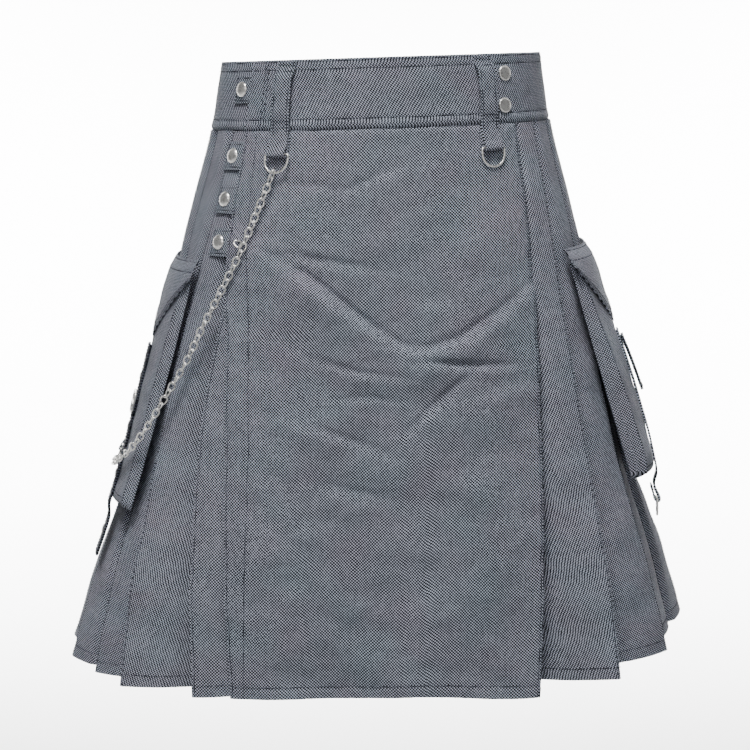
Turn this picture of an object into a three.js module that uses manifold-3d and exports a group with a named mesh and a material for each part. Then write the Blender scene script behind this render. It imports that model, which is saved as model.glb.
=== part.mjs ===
import * as THREE from 'three';
import { mergeVertices } from 'three/addons/utils/BufferGeometryUtils.js';
import Module from 'manifold-3d';

// A utility kilt, worn and filled out: millimetres, +Z up, the front faces -Y.
// A place on it is a turn (degrees from the centre front, + to the viewer's right),
// a drop (down from the top edge) and a distance out from the body line.

const bandHeight = 66.5;
const hemDrop = 607;
const cloth = 1.2;          // one layer of twill
const bandCloth = 2;        // the waistband, folded double
const strapCloth = 2.2;     // folded and stitched straps
const ply = 2;              // from layer to layer in a pressed pleat
const gap = 0.3;
const lean = Math.tan(THREE.MathUtils.degToRad(1.8));   // the hem hangs lower on the viewer's left

const bodyLine = [
  { drop: 0, side: 160.5, front: 120, back: 118, square: 2.1 },
  { drop: 70, side: 172, front: 128, back: 126, square: 2.1 },
  { drop: 135, side: 190, front: 139, back: 140, square: 2.15 },
  { drop: 180, side: 202, front: 146, back: 150, square: 2.2 },
  { drop: 287, side: 227, front: 161, back: 168, square: 2.3 },
  { drop: 381, side: 251, front: 173, back: 182, square: 2.4 },
  { drop: 449, side: 271, front: 181, back: 192, square: 2.45 },
  { drop: 518, side: 296, front: 188, back: 202, square: 2.5 },
  { drop: 607, side: 323, front: 195, back: 214, square: 2.5 },
];

// Where each fold's edge runs, at the drops of foldDrops, how far out it stands at the waist
// and at the hem, and how far in the cloth tucked behind it lies at the hem.
const foldDrops = [67, 181, 314, 607];
const rightFolds = [
  { waist: 57.2, hip: 53, thigh: 48.6, hem: 39.8, out: -1.6, hemOut: -1.6, tuck: -50 },
  { waist: 66.6, hip: 61.8, thigh: 59, hem: 55.3, out: 0, hemOut: 8, tuck: -46 },
  { waist: 76.5, hip: 75.2, thigh: 74.4, hem: 74.8, out: 0, hemOut: -12, tuck: -44 },
  { waist: 87, hip: 87.4, thigh: 88, hem: 89, out: 0, hemOut: -16, tuck: -40 },
  { waist: 98, hip: 98.3, thigh: 98.6, hem: 99.3, out: 0, hemOut: 9, tuck: -36 },
  { waist: 110, hip: 110.8, thigh: 111.6, hem: 113.5, out: 0, hemOut: 2, tuck: -32 },
  { waist: 122.5, hip: 123.4, thigh: 124.5, hem: 127, out: 0, hemOut: 6, tuck: -27 },
  { waist: 135, hip: 136.2, thigh: 137.6, hem: 140.6, out: 0, hemOut: 0, tuck: -29 },
  { waist: 148, hip: 149.2, thigh: 150.6, hem: 153.4, out: 0, hemOut: 4, tuck: -24 },
  { waist: 161.5, hip: 162.4, thigh: 163.4, hem: 165.6, out: 0, hemOut: 1, tuck: -27 },
  { waist: 178.4, hip: 178.2, thigh: 177.8, hem: 177, out: 0, hemOut: 3, tuck: -24 },
];
const leftFolds = [
  { waist: -49, hip: -51.8, thigh: -54, hem: -45.7, out: -4.9, hemOut: 4, tuck: -46 },
  { waist: -66, hip: -66.4, thigh: -68, hem: -61.7, out: -4.6, hemOut: 1, tuck: -48 },
  { waist: -77, hip: -77, thigh: -76.5, hem: -72, out: -2.6, hemOut: -8, tuck: -42 },
  { waist: -88, hip: -87.5, thigh: -86.5, hem: -83, out: 0, hemOut: 2, tuck: -38 },
  { waist: -99, hip: -98.8, thigh: -98, hem: -95.5, out: 0, hemOut: 9, tuck: -36 },
  { waist: -111, hip: -111, thigh: -110.8, hem: -109.5, out: 0, hemOut: 3, tuck: -31 },
  { waist: -123, hip: -123.4, thigh: -124, hem: -124, out: 0, hemOut: 5, tuck: -27 },
  { waist: -135.5, hip: -136.6, thigh: -137.8, hem: -139, out: 0, hemOut: 0, tuck: -29 },
  { waist: -148, hip: -149.4, thigh: -151, hem: -153, out: 0, hemOut: 5, tuck: -25 },
  { waist: -161.5, hip: -162.6, thigh: -164, hem: -166, out: 0, hemOut: 0, tuck: -28 },
  { waist: -178.4, hip: -178.2, thigh: -177.8, hem: -177, out: 0, hemOut: 3, tuck: -24 },
];
const apronLeft = { waist: -57.2, hip: -54.6, thigh: -47.6, hem: -38.2 };
const apronRight = { waist: 57.2, hip: 53, thigh: 48.6, hem: 39.8 };
const rings = [0, 67, 120, 181, 245, 314, 395, 500, 607];   // between these drops the cloth runs straight
const skirtDrops = rings.slice(1);

// Soft folds across the apron: each runs from one place to another, with a half width and a height.
const creases = [
  { turn: -36, drop: 190, toTurn: 5, toDrop: 272, wide: 15, high: 5 },
  { turn: 5, drop: 274, toTurn: 51, toDrop: 224, wide: 14, high: 4.5 },
  { turn: -34, drop: 212, toTurn: -2, toDrop: 236, wide: 11, high: -2.6 },
  { turn: 14, drop: 296, toTurn: 42, toDrop: 300, wide: 11, high: -3 },
  { turn: 20, drop: 328, toTurn: 46, toDrop: 318, wide: 16, high: 3 },
  { turn: -22, drop: 285, toTurn: 8, toDrop: 302, wide: 8, high: 2 },
  { turn: -42, drop: 140, toTurn: -14, toDrop: 128, wide: 9, high: 1.6 },
  { turn: -26, drop: 350, toTurn: 2, toDrop: 378, wide: 12, high: 2 },
];

const rad = THREE.MathUtils.degToRad;
const { lerp, smoothstep } = THREE.MathUtils;

// A smooth value between the rows of a table, by the slopes at its own rows.
function smooth(places, values, at) {
  const last = places.length - 1;
  const i = Math.min(Math.max(places.findIndex(place => place > at) - 1, 0), last - 1);
  const k = at >= places[last] ? last - 1 : i;
  const slope = n => {
    const a = Math.max(n - 1, 0);
    const b = Math.min(n + 1, last);
    return (values[b] - values[a]) / (places[b] - places[a]);
  };
  const span = places[k + 1] - places[k];
  const t = (at - places[k]) / span;
  const h = t * t * (3 - 2 * t);
  return values[k] * (1 - h) + values[k + 1] * h
    + span * (t * (1 - t) ** 2 * slope(k) - t * t * (1 - t) * slope(k + 1));
}

// The same value at the rings, and straight between them.
function ringed(places, values, drop) {
  const i = THREE.MathUtils.clamp(rings.findIndex(ring => ring > drop) - 1, 0, rings.length - 2);
  const k = drop >= rings[rings.length - 1] ? rings.length - 2 : i;
  const t = (drop - rings[k]) / (rings[k + 1] - rings[k]);
  return lerp(smooth(places, values, rings[k]), smooth(places, values, rings[k + 1]), t);
}
const lineDrops = bodyLine.map(row => row.drop);
const onLine = (key, drop) => ringed(lineDrops, bodyLine.map(row => row[key]), drop);

function around(turn, drop, out = 0) {
  const s = Math.sin(rad(turn));
  const c = Math.cos(rad(turn));
  const side = onLine('side', drop) + out;
  const depth = onLine(c > 0 ? 'front' : 'back', drop) + out;
  const square = onLine('square', drop);
  const r = (Math.abs(s / side) ** square + Math.abs(c / depth) ** square) ** (-1 / square);
  return new THREE.Vector3(r * s, -r * c, bandHeight / 2 + 1.75 - drop + lean * r * s);
}
const perDegree = (turn, drop) => around(turn + 0.5, drop).distanceTo(around(turn - 0.5, drop));
const edge = (fold, drop) => ringed(foldDrops, [fold.waist, fold.hip, fold.thigh, fold.hem], drop);
const opened = drop => Math.max(0, (drop - foldDrops[0]) / (hemDrop - foldDrops[0])) ** 1.15;
const mix = (waist, hem, drop) => lerp(waist, hem, opened(drop));

const group = new THREE.Group();
const twill = (name, color) => new THREE.MeshStandardMaterial({ name, color, roughness: 0.9, metalness: 0 });
const greyTwill = twill('grey_twill', 0x74777f);
const pleatTwill = twill('pleat_twill', 0x6d717a);
const darkTwill = twill('strap_twill', 0x3f434e);
const nickel = new THREE.MeshStandardMaterial({ name: 'nickel', color: 0xc9c8c4, roughness: 0.25, metalness: 1 });

// Adds one closed solid, with its faces turned outwards.
function add(name, geometry, material) {
  geometry.deleteAttribute('uv');
  geometry.deleteAttribute('normal');
  const merged = mergeVertices(geometry, 1e-4);
  const p = merged.attributes.position;
  const index = merged.index.array;
  const [a, b, c] = [new THREE.Vector3(), new THREE.Vector3(), new THREE.Vector3()];
  let volume = 0;
  for (let i = 0; i < index.length; i += 3) {
    a.fromBufferAttribute(p, index[i]);
    b.fromBufferAttribute(p, index[i + 1]);
    c.fromBufferAttribute(p, index[i + 2]);
    volume += a.dot(b.cross(c)) / 6;
  }
  if (volume < 0) {
    for (let i = 0; i < index.length; i += 3) [index[i], index[i + 1]] = [index[i + 1], index[i]];
  }
  const mesh = new THREE.Mesh(merged, material);
  mesh.name = name;
  group.add(mesh);
  return mesh;
}

// A wall between two grids of points, rows of equal length, closed along all its edges.
function wall(outer, inner) {
  const rows = outer.length;
  const count = outer[0].length;
  const points = [...outer.flat(), ...inner.flat()];
  const at = (face, row, column) => face * rows * count + row * count + column;
  const index = [];
  const quad = (a, b, c, d) => index.push(a, b, c, a, c, d);
  for (let i = 0; i < rows - 1; i++) {
    for (let j = 0; j < count - 1; j++) {
      quad(at(0, i, j), at(0, i + 1, j), at(0, i + 1, j + 1), at(0, i, j + 1));
      quad(at(1, i, j), at(1, i, j + 1), at(1, i + 1, j + 1), at(1, i + 1, j));
    }
    quad(at(0, i, 0), at(1, i, 0), at(1, i + 1, 0), at(0, i + 1, 0));
    quad(at(0, i, count - 1), at(0, i + 1, count - 1), at(1, i + 1, count - 1), at(1, i, count - 1));
  }
  for (let j = 0; j < count - 1; j++) {
    quad(at(0, 0, j), at(0, 0, j + 1), at(1, 0, j + 1), at(1, 0, j));
    quad(at(0, rows - 1, j), at(1, rows - 1, j), at(1, rows - 1, j + 1), at(0, rows - 1, j + 1));
  }
  const geometry = new THREE.BufferGeometry().setFromPoints(points);
  geometry.setIndex(index);
  return geometry;
}

// A patch of cloth from a function of its place across (0 to 1) and down (0 to 1).
function patch(across, down, place, thick = cloth) {
  const grid = depth => Array.from({ length: down + 1 }, (_, i) =>
    Array.from({ length: across + 1 }, (_, j) => place(j / across, i / down, depth)));
  return wall(grid(0), grid(-thick));
}

// Waistband: once round and on under the front, from its left end to the snaps on the right.
const underlap = 4;
const bandEnds = { outer: -57.2, under: 420 };
function bandOut(turn) {
  return -underlap * smoothstep(turn, 281, 293);
}
add('waistband', patch(56, 1, (u, v, depth) => {
  const turn = lerp(bandEnds.outer, bandEnds.under, u);
  return around(turn, bandHeight * v, bandOut(turn) + depth);
}, bandCloth), greyTwill);

// Outer apron, with its creases and the lower corner at its right.
function apronRipple(turn, drop) {
  let height = 0;
  for (const crease of creases) {
    const mm = perDegree(turn, drop);
    const along = new THREE.Vector2((crease.toTurn - crease.turn) * mm, crease.toDrop - crease.drop);
    const from = new THREE.Vector2((turn - crease.turn) * mm, drop - crease.drop);
    const t = THREE.MathUtils.clamp(from.dot(along) / along.lengthSq(), 0, 1);
    const away = from.sub(along.multiplyScalar(t)).length() / crease.wide;
    const ends = 0.35 + 0.65 * Math.sin(Math.PI * t);
    height += crease.high * ends * Math.exp(-away * away);
  }
  return Math.max(height, -2.6);
}
function onApron(turn, drop, out) {
  return around(turn, drop, out + apronRipple(turn, drop) * smoothstep(drop, 95, 140));
}
const apronRows = 13;
const apronDrops = Array.from({ length: apronRows + 1 }, (_, i) => {
  const drop = lerp(skirtDrops[0], hemDrop, i / apronRows);
  return rings.find(ring => Math.abs(ring - drop) < 17) ?? drop;
});
add('front_apron', patch(21, apronRows, (u, v, depth) => {
  const drop = apronDrops[Math.round(v * apronRows)];
  const turn = lerp(edge(apronLeft, drop), edge(apronRight, drop), u);
  const corner = 8 * v ** 6 * smoothstep(turn, 8, 38);
  return onApron(turn, drop + corner, depth);
}), greyTwill);

// Under apron, from its free edge on the right to its folded edge on the left.
const freeEdge = { waist: 44, hip: 38, thigh: 32, hem: 25 };
add('under_apron', patch(16, skirtDrops.length - 1, (u, v, depth) => {
  const drop = skirtDrops[Math.round(v * (skirtDrops.length - 1))];
  const fold = leftFolds[0];
  const u2 = u ** 1.5;
  const turn = lerp(edge(fold, drop), edge(freeEdge, drop), u2);
  const away = (turn - edge(fold, drop)) * perDegree(turn, drop);
  const out = lerp(mix(fold.out, fold.hemOut, drop), mix(-5.4, -13, drop), smoothstep(away, 0, 60));
  return around(turn, drop, out + depth);
}), pleatTwill);

// Moves a line seen in plan sideways by a distance, keeping its corners square.
function besideLine(line, distance) {
  return line.map((point, i) => {
    const normals = [];
    for (const [a, b] of [[line[i - 1], point], [point, line[i + 1]]]) {
      if (a && b) normals.push(new THREE.Vector2(b.y - a.y, a.x - b.x).normalize());
    }
    const middle = normals[0].clone().add(normals[normals.length - 1]).normalize();
    const reach = distance / Math.max(middle.dot(normals[0]), 0.5);
    const x = point.x + middle.x * reach;
    return new THREE.Vector3(x, point.y + middle.y * reach, point.z + lean * (x - point.x));
  });
}

// One ring of a pleated length: under each fold's edge the cloth turns back, then on again.
function pleatLine(folds, drop, endTurn) {
  const towards = Math.sign(folds[0].waist);
  const line = [];
  const put = (turn, out) => line.push(around(turn, drop, out - cloth / 2));
  folds.forEach((fold, k) => {
    const turn = edge(fold, drop);
    const mm = perDegree(turn, drop);
    const out = mix(fold.out, fold.hemOut, drop);
    const inner = mix(fold.out - 2 * ply, fold.tuck, drop);
    const before = k ? Math.abs(turn - edge(folds[k - 1], drop)) * mm : Infinity;
    const deep = Math.min(mix(21, 33, drop), before - 7) / mm;
    if (k) {
      const earlier = folds[k - 1];
      const start = mix(earlier.out - 2 * ply, earlier.tuck, drop);
      const open = opened(drop);
      const edgeBefore = edge(earlier, drop);
      put(edgeBefore + towards * lerp(1.5, 4, open) / mm, lerp(start, out, 0.16 * open));
      put(turn - towards * (deep + 1.5 / mm), lerp(start, out, 1 - 0.3 * open));
      put(turn, out);
    }
    const first = k ? ply : 0.5 + cloth;
    put(turn - (k ? 0 : towards * 1.2 / mm), out - first);
    put(turn - towards * deep * 0.5, lerp(out - first, inner + ply, lerp(0.5, 0.4, opened(drop))));
    put(turn - towards * deep, inner + ply);
    put(turn - towards * deep, inner);
  });
  const last = folds[folds.length - 1];
  put(endTurn, mix(last.out - 2 * ply, last.tuck + 6, drop));
  return line;
}
const pointsPerFold = 7;
const firstFoldPoints = 4;
function pleats(name, folds, from, to, endTurn) {
  const lines = skirtDrops.map(drop => pleatLine(folds, drop, endTurn));
  const seam = k => firstFoldPoints + pointsPerFold * k - 1;   // inside the hidden turn behind a fold
  const side = distance => lines.map(line =>
    besideLine(line, distance).slice(from ? seam(from) : 0, to ? seam(to) : line.length));
  add(name, wall(side(cloth / 2), side(-cloth / 2)), pleatTwill);
}
const centreBack = 180 - 0.12;
pleats('right_side_pleats', rightFolds, 0, 5, centreBack);
pleats('right_back_pleats', rightFolds, 5, 0, centreBack);
pleats('left_side_pleats', leftFolds, 0, 5, -centreBack);
pleats('left_back_pleats', leftFolds, 5, 0, -centreBack);

// Bends a piece made flat (x across, y up from the top edge, z out) on to the body line.
function bent(geometry, turn, base = around) {
  const p = geometry.attributes.position;
  for (let i = 0; i < p.count; i++) {
    const drop = -p.getY(i);
    const at = base(turn + p.getX(i) / perDegree(turn, drop), drop, p.getZ(i));
    p.setXYZ(i, at.x, at.y, at.z);
  }
  return geometry;
}

// A strip whose side view is a shape in (out, -drop), as wide as given.
function strip(shape, width, steps = 2) {
  const geometry = new THREE.ExtrudeGeometry(shape, { depth: width, steps, bevelEnabled: false, curveSegments: 5 });
  return geometry.translate(0, 0, -width / 2).rotateY(-Math.PI / 2);
}
const sideView = rows => new THREE.Shape(rows.map(([out, drop]) => new THREE.Vector2(out, -drop)));

// The place of a hard piece: x across, y up the cloth, z out of it.
function seat(turn, drop, out, base = around, reach = 9) {
  const at = base(turn, drop, out);
  const x = base(turn + 1, drop, out).sub(base(turn - 1, drop, out)).normalize();
  const y = at.clone().sub(base(turn, drop + reach, out)).normalize();
  const z = x.clone().cross(y).normalize();
  return new THREE.Matrix4().makeBasis(x, z.clone().cross(x), z).setPosition(at);
}

// Snap tabs, sewn under the left edge of band and apron, and the domed snaps on them.
const tab = { long: 30, under: 4, high: 27 };
const snapTabs = [
  { name: 'band', drop: 27, edge: { waist: -57.2, hip: -57.2, thigh: -57.2, hem: -57.2 }, out: -bandCloth - gap },
  { name: 'upper', drop: 90.5, edge: apronLeft, out: -cloth - 0.4 },
  { name: 'middle', drop: 132, edge: apronLeft, out: -cloth - 0.4 },
  { name: 'lower', drop: 173, edge: apronLeft, out: -cloth - 0.4 },
];
const snapProfile = [[0, 0], [7.5, 0], [7.5, 0.7], [6.4, 2], [3.6, 3], [0, 3.4]];
function snap(name, turn, drop, out) {
  const dome = new THREE.LatheGeometry(snapProfile.map(([x, y]) => new THREE.Vector2(x, y)), 12);
  add(name, dome.rotateX(Math.PI / 2), nickel).applyMatrix4(seat(turn, drop, out));
}
for (const row of snapTabs) {
  const start = edge(row.edge, row.drop);
  const turnAt = u => start + (tab.under - tab.long * u) / perDegree(start, row.drop);
  add(`snap_tab_${row.name}`, patch(3, 2, (u, v, depth) =>
    around(turnAt(u), row.drop + tab.high * (v - 0.5), row.out + depth)), greyTwill);
  snap(`snap_${row.name}`, turnAt(0.62), row.drop, row.out + gap);
}
snap('snap_right_upper', 53.9, 19, gap);
snap('snap_right_lower', 52.5, 49.5, gap);

// Belt loops: two at the front that go on down to hold a ring, three plain ones behind.
const loop = { wide: 19, thick: 1.5, sewn: gap };
const beltRoom = { front: 5.2, back: 6.2 };
const ring = { drop: 88.5, out: 3.8, wire: 1.1, half: 12.2, leg: 6.2, hole: 1.9, sleeve: 3.2, bow: 0.25 };
const loopFace = loop.sewn + loop.thick;
const beltOuter = belt => [[loop.sewn, 1.2], [loopFace, 1.2], [loopFace, 8], [belt + loop.thick, 16],
  [belt + loop.thick, 49]];
const beltInner = belt => [[belt, 48], [belt, 16.8], [loop.sewn, 9]];
function ringSleeve(shape, drop, out) {
  const circle = Array.from({ length: 8 }, (_, i) => (i * Math.PI) / 4);
  shape.holes.push(new THREE.Path(circle.map(angle =>
    new THREE.Vector2(out + ring.hole * Math.cos(angle), ring.hole * Math.sin(angle) - drop))));
  return shape;
}
const sleeveEnd = (out, drop) => [[out + 2.6, drop - 2.2], [out + ring.sleeve, drop], [out + 2, drop + 2.4],
  [out, drop + ring.sleeve], [out - 2, drop + 2.4], [out - ring.sleeve, drop]];
const frontLoopShape = sideView([...beltOuter(beltRoom.front), [4.2, 59], [4.4, 80], [3.6, 80],
  ...sleeveEnd(ring.out, ring.drop), [0.6, 80], [loop.sewn, 62], [loop.sewn, 60], ...beltInner(beltRoom.front)]);
const plainLoopShape = sideView([...beltOuter(beltRoom.back), [loopFace, 58], [loopFace, 65], [loop.sewn, 65],
  [loop.sewn, 57], ...beltInner(beltRoom.back)]);
const frontLoops = [{ side: 'left', turn: -40.8 }, { side: 'right', turn: 44 }];
for (const { side, turn } of frontLoops) {
  const shape = ringSleeve(frontLoopShape.clone(), ring.drop, ring.out);
  add(`belt_loop_front_${side}`, bent(strip(shape, loop.wide), turn, onApron), greyTwill);
}
const backLoops = [{ side: 'back_right', turn: 118 }, { side: 'back', turn: 180 }, { side: 'back_left', turn: -118 }];
for (const { side, turn } of backLoops) {
  add(`belt_loop_${side}`, bent(strip(plainLoopShape, loop.wide), turn), greyTwill);
}

// A closed loop of round wire along a flat outline.
function wireLoop(outline, radius, sides) {
  const points = [];
  outline.forEach((point, i) => {
    const before = outline[(i + outline.length - 1) % outline.length];
    const after = outline[(i + 1) % outline.length];
    const a = point.clone().sub(before).normalize();
    const b = after.clone().sub(point).normalize();
    const way = a.add(b).normalize();
    const normal = new THREE.Vector2(way.y, -way.x);
    for (let k = 0; k < sides; k++) {
      const angle = (2 * Math.PI * (k + 0.5)) / sides;
      const across = radius * Math.cos(angle);
      points.push(new THREE.Vector3(point.x + normal.x * across, point.y + normal.y * across,
        radius * Math.sin(angle)));
    }
  });
  const index = [];
  for (let i = 0; i < outline.length; i++) {
    const next = (i + 1) % outline.length;
    for (let k = 0; k < sides; k++) {
      const l = (k + 1) % sides;
      index.push(i * sides + k, next * sides + k, next * sides + l, i * sides + k, next * sides + l, i * sides + l);
    }
  }
  const geometry = new THREE.BufferGeometry().setFromPoints(points);
  geometry.setIndex(index);
  return geometry;
}

// D-rings: a straight bar in the sleeve and a round bow below it.
function ringOutline() {
  const { half, leg } = ring;
  const bow = new THREE.Path().absarc(0, -leg, half, 0, -Math.PI, true).getPoints(7);
  const corner = 2.3;
  const bar = [[-half, -corner], [-half + 0.7, -0.7], [-half + corner, 0], [half - corner, 0], [half - 0.7, -0.7],
    [half, -corner]];
  return [...bar.map(([x, y]) => new THREE.Vector2(x, y)), ...bow];
}
function dRing(name, turn, drop, out, base, lift = 0) {
  const mesh = add(name, wireLoop(ringOutline(), ring.wire, 5), nickel);
  const place = seat(turn, drop, out, base, ring.half + ring.leg);
  mesh.applyMatrix4(place.multiply(new THREE.Matrix4().makeRotationX(-rad(lift))));
  return mesh;
}
// Degrees that a ring stands off the cloth's slope: held up by the chain, resting on the cloth, or plumb.
const lifts = { chain: 6, rest: -6, plumb: -18.5 };
const frontRings = frontLoops.map(({ side, turn }) =>
  dRing(`ring_front_${side}`, turn, ring.drop, ring.out - ring.bow, onApron, side === 'left' ? lifts.chain : lifts.rest));

// Pockets on both sides: a flat pouch with a folded gusset, open at the top under its flap.
const pocketRows = {
  left: { centre: -82, half: 58, halfBelow: 56, top: 206, bottom: 440,
    drops: [190, 206, 250, 276, 330, 440],
    front: [6, 6.2, 9, 10.2, 11.2, 11.8],
    flap: [3.4, 8.6, 11.4, 12.2, 12.6, 12.6] },
  right: { centre: 83, half: 60, halfBelow: 50, top: 206, bottom: 426,
    drops: [190, 206, 250, 276, 330, 400, 426],
    front: [7, 7.6, 12, 15.4, 20.6, 23, 20],
    flap: [3.4, 10, 14.4, 17.4, 22, 22, 22] },
};
const flapTop = 191;
const flapTip = 275;
const backOut = drop => lerp(2.4, 3.8, (drop - 206) / 230);
const gussetAcross = [-1, -0.97, -0.93, -0.9, -0.86, -0.5, 0, 0.5, 0.86, 0.9, 0.93, 0.97, 1];
const gussetRise = [0.1, 0.46, 0.42, 0.52, 0.94, 0.985, 1, 0.985, 0.94, 0.52, 0.42, 0.46, 0.1];
const wasm = await Module();
wasm.setup();
function toSolid(geometry) {
  geometry.deleteAttribute('uv');
  geometry.deleteAttribute('normal');
  const merged = mergeVertices(geometry, 1e-4);
  const mesh = new wasm.Mesh({ numProp: 3, vertProperties: new Float32Array(merged.attributes.position.array),
    triVerts: new Uint32Array(merged.index.array) });
  return new wasm.Manifold(mesh);
}
function toGeometry(solid) {
  const mesh = solid.getMesh();
  const geometry = new THREE.BufferGeometry();
  geometry.setAttribute('position', new THREE.BufferAttribute(new Float32Array(mesh.vertProperties), 3));
  geometry.setIndex(new THREE.BufferAttribute(new Uint32Array(mesh.triVerts), 1));
  return geometry;
}
function pouch(name, spec) {
  const rows = [spec.top, 250, 290, 335, 385, spec.bottom - 12, spec.bottom];
  const halfAt = drop => lerp(spec.half, spec.halfBelow, (drop - spec.top) / (spec.bottom - spec.top));
  const turnAt = (share, drop) => spec.centre + (share * halfAt(drop)) / perDegree(spec.centre, drop);
  const inset = cloth;
  const grid = (front, narrower, drops) => drops.map((drop, i) => gussetAcross.map((share, j) => {
    const back = backOut(drop);
    const rise = gussetRise[j] * (i === drops.length - 1 && !narrower ? 0.8 : 1);
    const full = smooth(spec.drops, spec.front, drop) - back;
    const out = front ? back + full * rise - (narrower ? inset : 0) : back + (narrower ? inset : 0);
    const across = share * (1 - (narrower ? inset / halfAt(drop) : 0));
    return around(turnAt(across, drop), drop, out);
  }));
  const outside = toSolid(wall(grid(true, false, rows), grid(false, false, rows)));
  const hollowDrops = [spec.top - 8, ...rows.slice(0, -1), spec.bottom - 1.5];
  const hollowAcross = gussetAcross.filter(share => Math.abs(share) < 0.88);
  const hollow = front => hollowDrops.map(drop => hollowAcross.map(share => {
    const back = backOut(drop) + inset;
    const rise = gussetRise[gussetAcross.indexOf(share)];
    const full = smooth(spec.drops, spec.front, drop) - back - inset;
    const out = front ? back + Math.max(full, 0.8) * rise : back;
    return around(turnAt(share * 0.985, drop), drop, out);
  }));
  const solid = outside.subtract(toSolid(wall(hollow(true), hollow(false))));
  add(name, toGeometry(solid), pleatTwill);
}
function flap(name, spec) {
  const corner = flapTop + 13;
  add(name, patch(8, 5, (u, v, depth) => {
    const share = 2 * u - 1;
    const bottom = lerp(corner, flapTip, (1 - Math.abs(share)) ** 0.85);
    const low = Math.min(bottom, flapTip - 3);
    const drop = lerp(flapTop, low, v);
    const half = (spec.half + 5) / perDegree(spec.centre, drop);
    const dome = smoothstep(drop, 195, 240) * 0.06 * (smooth(spec.drops, spec.flap, drop) - 2);
    return around(spec.centre + share * half, drop, smooth(spec.drops, spec.flap, drop) - dome * share ** 2 + depth);
  }), pleatTwill);
}
for (const side of ['left', 'right']) {
  pouch(`pocket_${side}`, pocketRows[side]);
  flap(`pocket_flap_${side}`, pocketRows[side]);
}

// Straps down both pockets, on past their lower edge: a loose end on the left, a ring on the right.
const strapWide = 24;
const strapTop = 280;
const pocketFront = (side, drop) => smooth(pocketRows[side].drops, pocketRows[side].front, drop);
const strapIn = (side, drop) => [pocketFront(side, drop) + 0.5, drop];
function strapSide(inner, end = []) {
  const outer = inner.map(([out, drop]) => [out + strapCloth, drop]);
  return sideView([...outer, ...end, ...inner.reverse()]);
}
const leftStrap = [...[strapTop, 290, 335, 385, 428].map(drop => strapIn('left', drop)), [12.4, 442], [8.4, 456], [7.4, 496]];
add('strap_left', bent(strip(strapSide(leftStrap), strapWide), pocketRows.left.centre), darkTwill);
const strapRing = { drop: 457, out: 12.6 };
const rightStrap = [...[strapTop, 290, 335, 385, 414].map(drop => strapIn('right', drop)), [20.6, 429], [12.4, 440],
  [10.6, 452]];
const rightEnd = sleeveEnd(strapRing.out, strapRing.drop);
const rightShape = ringSleeve(strapSide(rightStrap, rightEnd), strapRing.drop, strapRing.out);
add('strap_right', bent(strip(rightShape, loop.wide), pocketRows.right.centre), greyTwill);
dRing('ring_strap_right', pocketRows.right.centre, strapRing.drop, strapRing.out - ring.bow, around, lifts.plumb);
const tailRoot = pocketFront('right', 286) + strapCloth + 1.1;
const tail = [[tailRoot, 286], [tailRoot + 4.4, 312], [tailRoot + 8, 342]];
add('strap_tail_right', bent(strip(strapSide(tail), loop.wide), pocketRows.right.centre), darkTwill);

// Eyelets and a centre-bar buckle on the left strap.
const strapFace = drop => (drop < 430 ? pocketFront('left', drop) + 0.5 : lerp(8.2, 7.9, (drop - 456) / 40))
  + strapCloth;
const eyeletProfile = [[2.4, 0], [4.6, 0], [4.6, 0.5], [3.5, 0.9], [2.4, 0.6], [2.4, 0]];
[313, 364, 412, 470].forEach((drop, i) => {
  const eyelet = new THREE.LatheGeometry(eyeletProfile.map(([x, y]) => new THREE.Vector2(x, y)), 12);
  add(`eyelet_${i + 1}`, eyelet.rotateX(Math.PI / 2), nickel)
    .applyMatrix4(seat(pocketRows.left.centre, drop, strapFace(drop) + gap));
});
const buckle = { drop: 339, wide: 30, high: 21, wire: 1.1, corner: 4 };
const bar = (length, turnBy, x, y) => new THREE.CylinderGeometry(0.9, 0.9, length, 8)
  .rotateZ(turnBy).translate(x, y, 0.35);
const buckleCorners = [[1, 1], [-1, 1], [-1, -1], [1, -1]];
const buckleOutline = buckleCorners.flatMap(([x, y], i) => {
  const centre = new THREE.Vector2(x * (buckle.wide / 2 - buckle.corner), y * (buckle.high / 2 - buckle.corner));
  return [0, 1, 2].map(k => {
    const angle = (i + k / 2) * Math.PI / 2;
    return centre.clone().add(new THREE.Vector2(Math.cos(angle), Math.sin(angle)).multiplyScalar(buckle.corner));
  });
});
const buckleSolid = toSolid(wireLoop(buckleOutline, buckle.wire, 6))
  .add(toSolid(bar(buckle.wide + 3, Math.PI / 2, 0, 0)))
  .add(toSolid(bar(buckle.high / 2, 0, 0, -buckle.high / 4)));
add('buckle_left', toGeometry(buckleSolid), nickel)
  .applyMatrix4(seat(pocketRows.left.centre, buckle.drop, strapFace(buckle.drop) + gap + buckle.wire));

// The chain's far end: a small tab and ring on the back half of the left pocket.
const anchor = { turn: -89, drop: 392, out: pocketFront('left', 392) + 3.8 };
const anchorIn = [[anchor.out - 3.2, 372], [anchor.out - 3.2, 384]];
const anchorShape = ringSleeve(strapSide(anchorIn, sleeveEnd(anchor.out, anchor.drop)), anchor.drop, anchor.out);
add('chain_tab', bent(strip(anchorShape, loop.wide), anchor.turn), greyTwill);
const anchorRing = dRing('ring_chain_end', anchor.turn, anchor.drop, anchor.out - ring.bow, around, lifts.chain);

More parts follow.
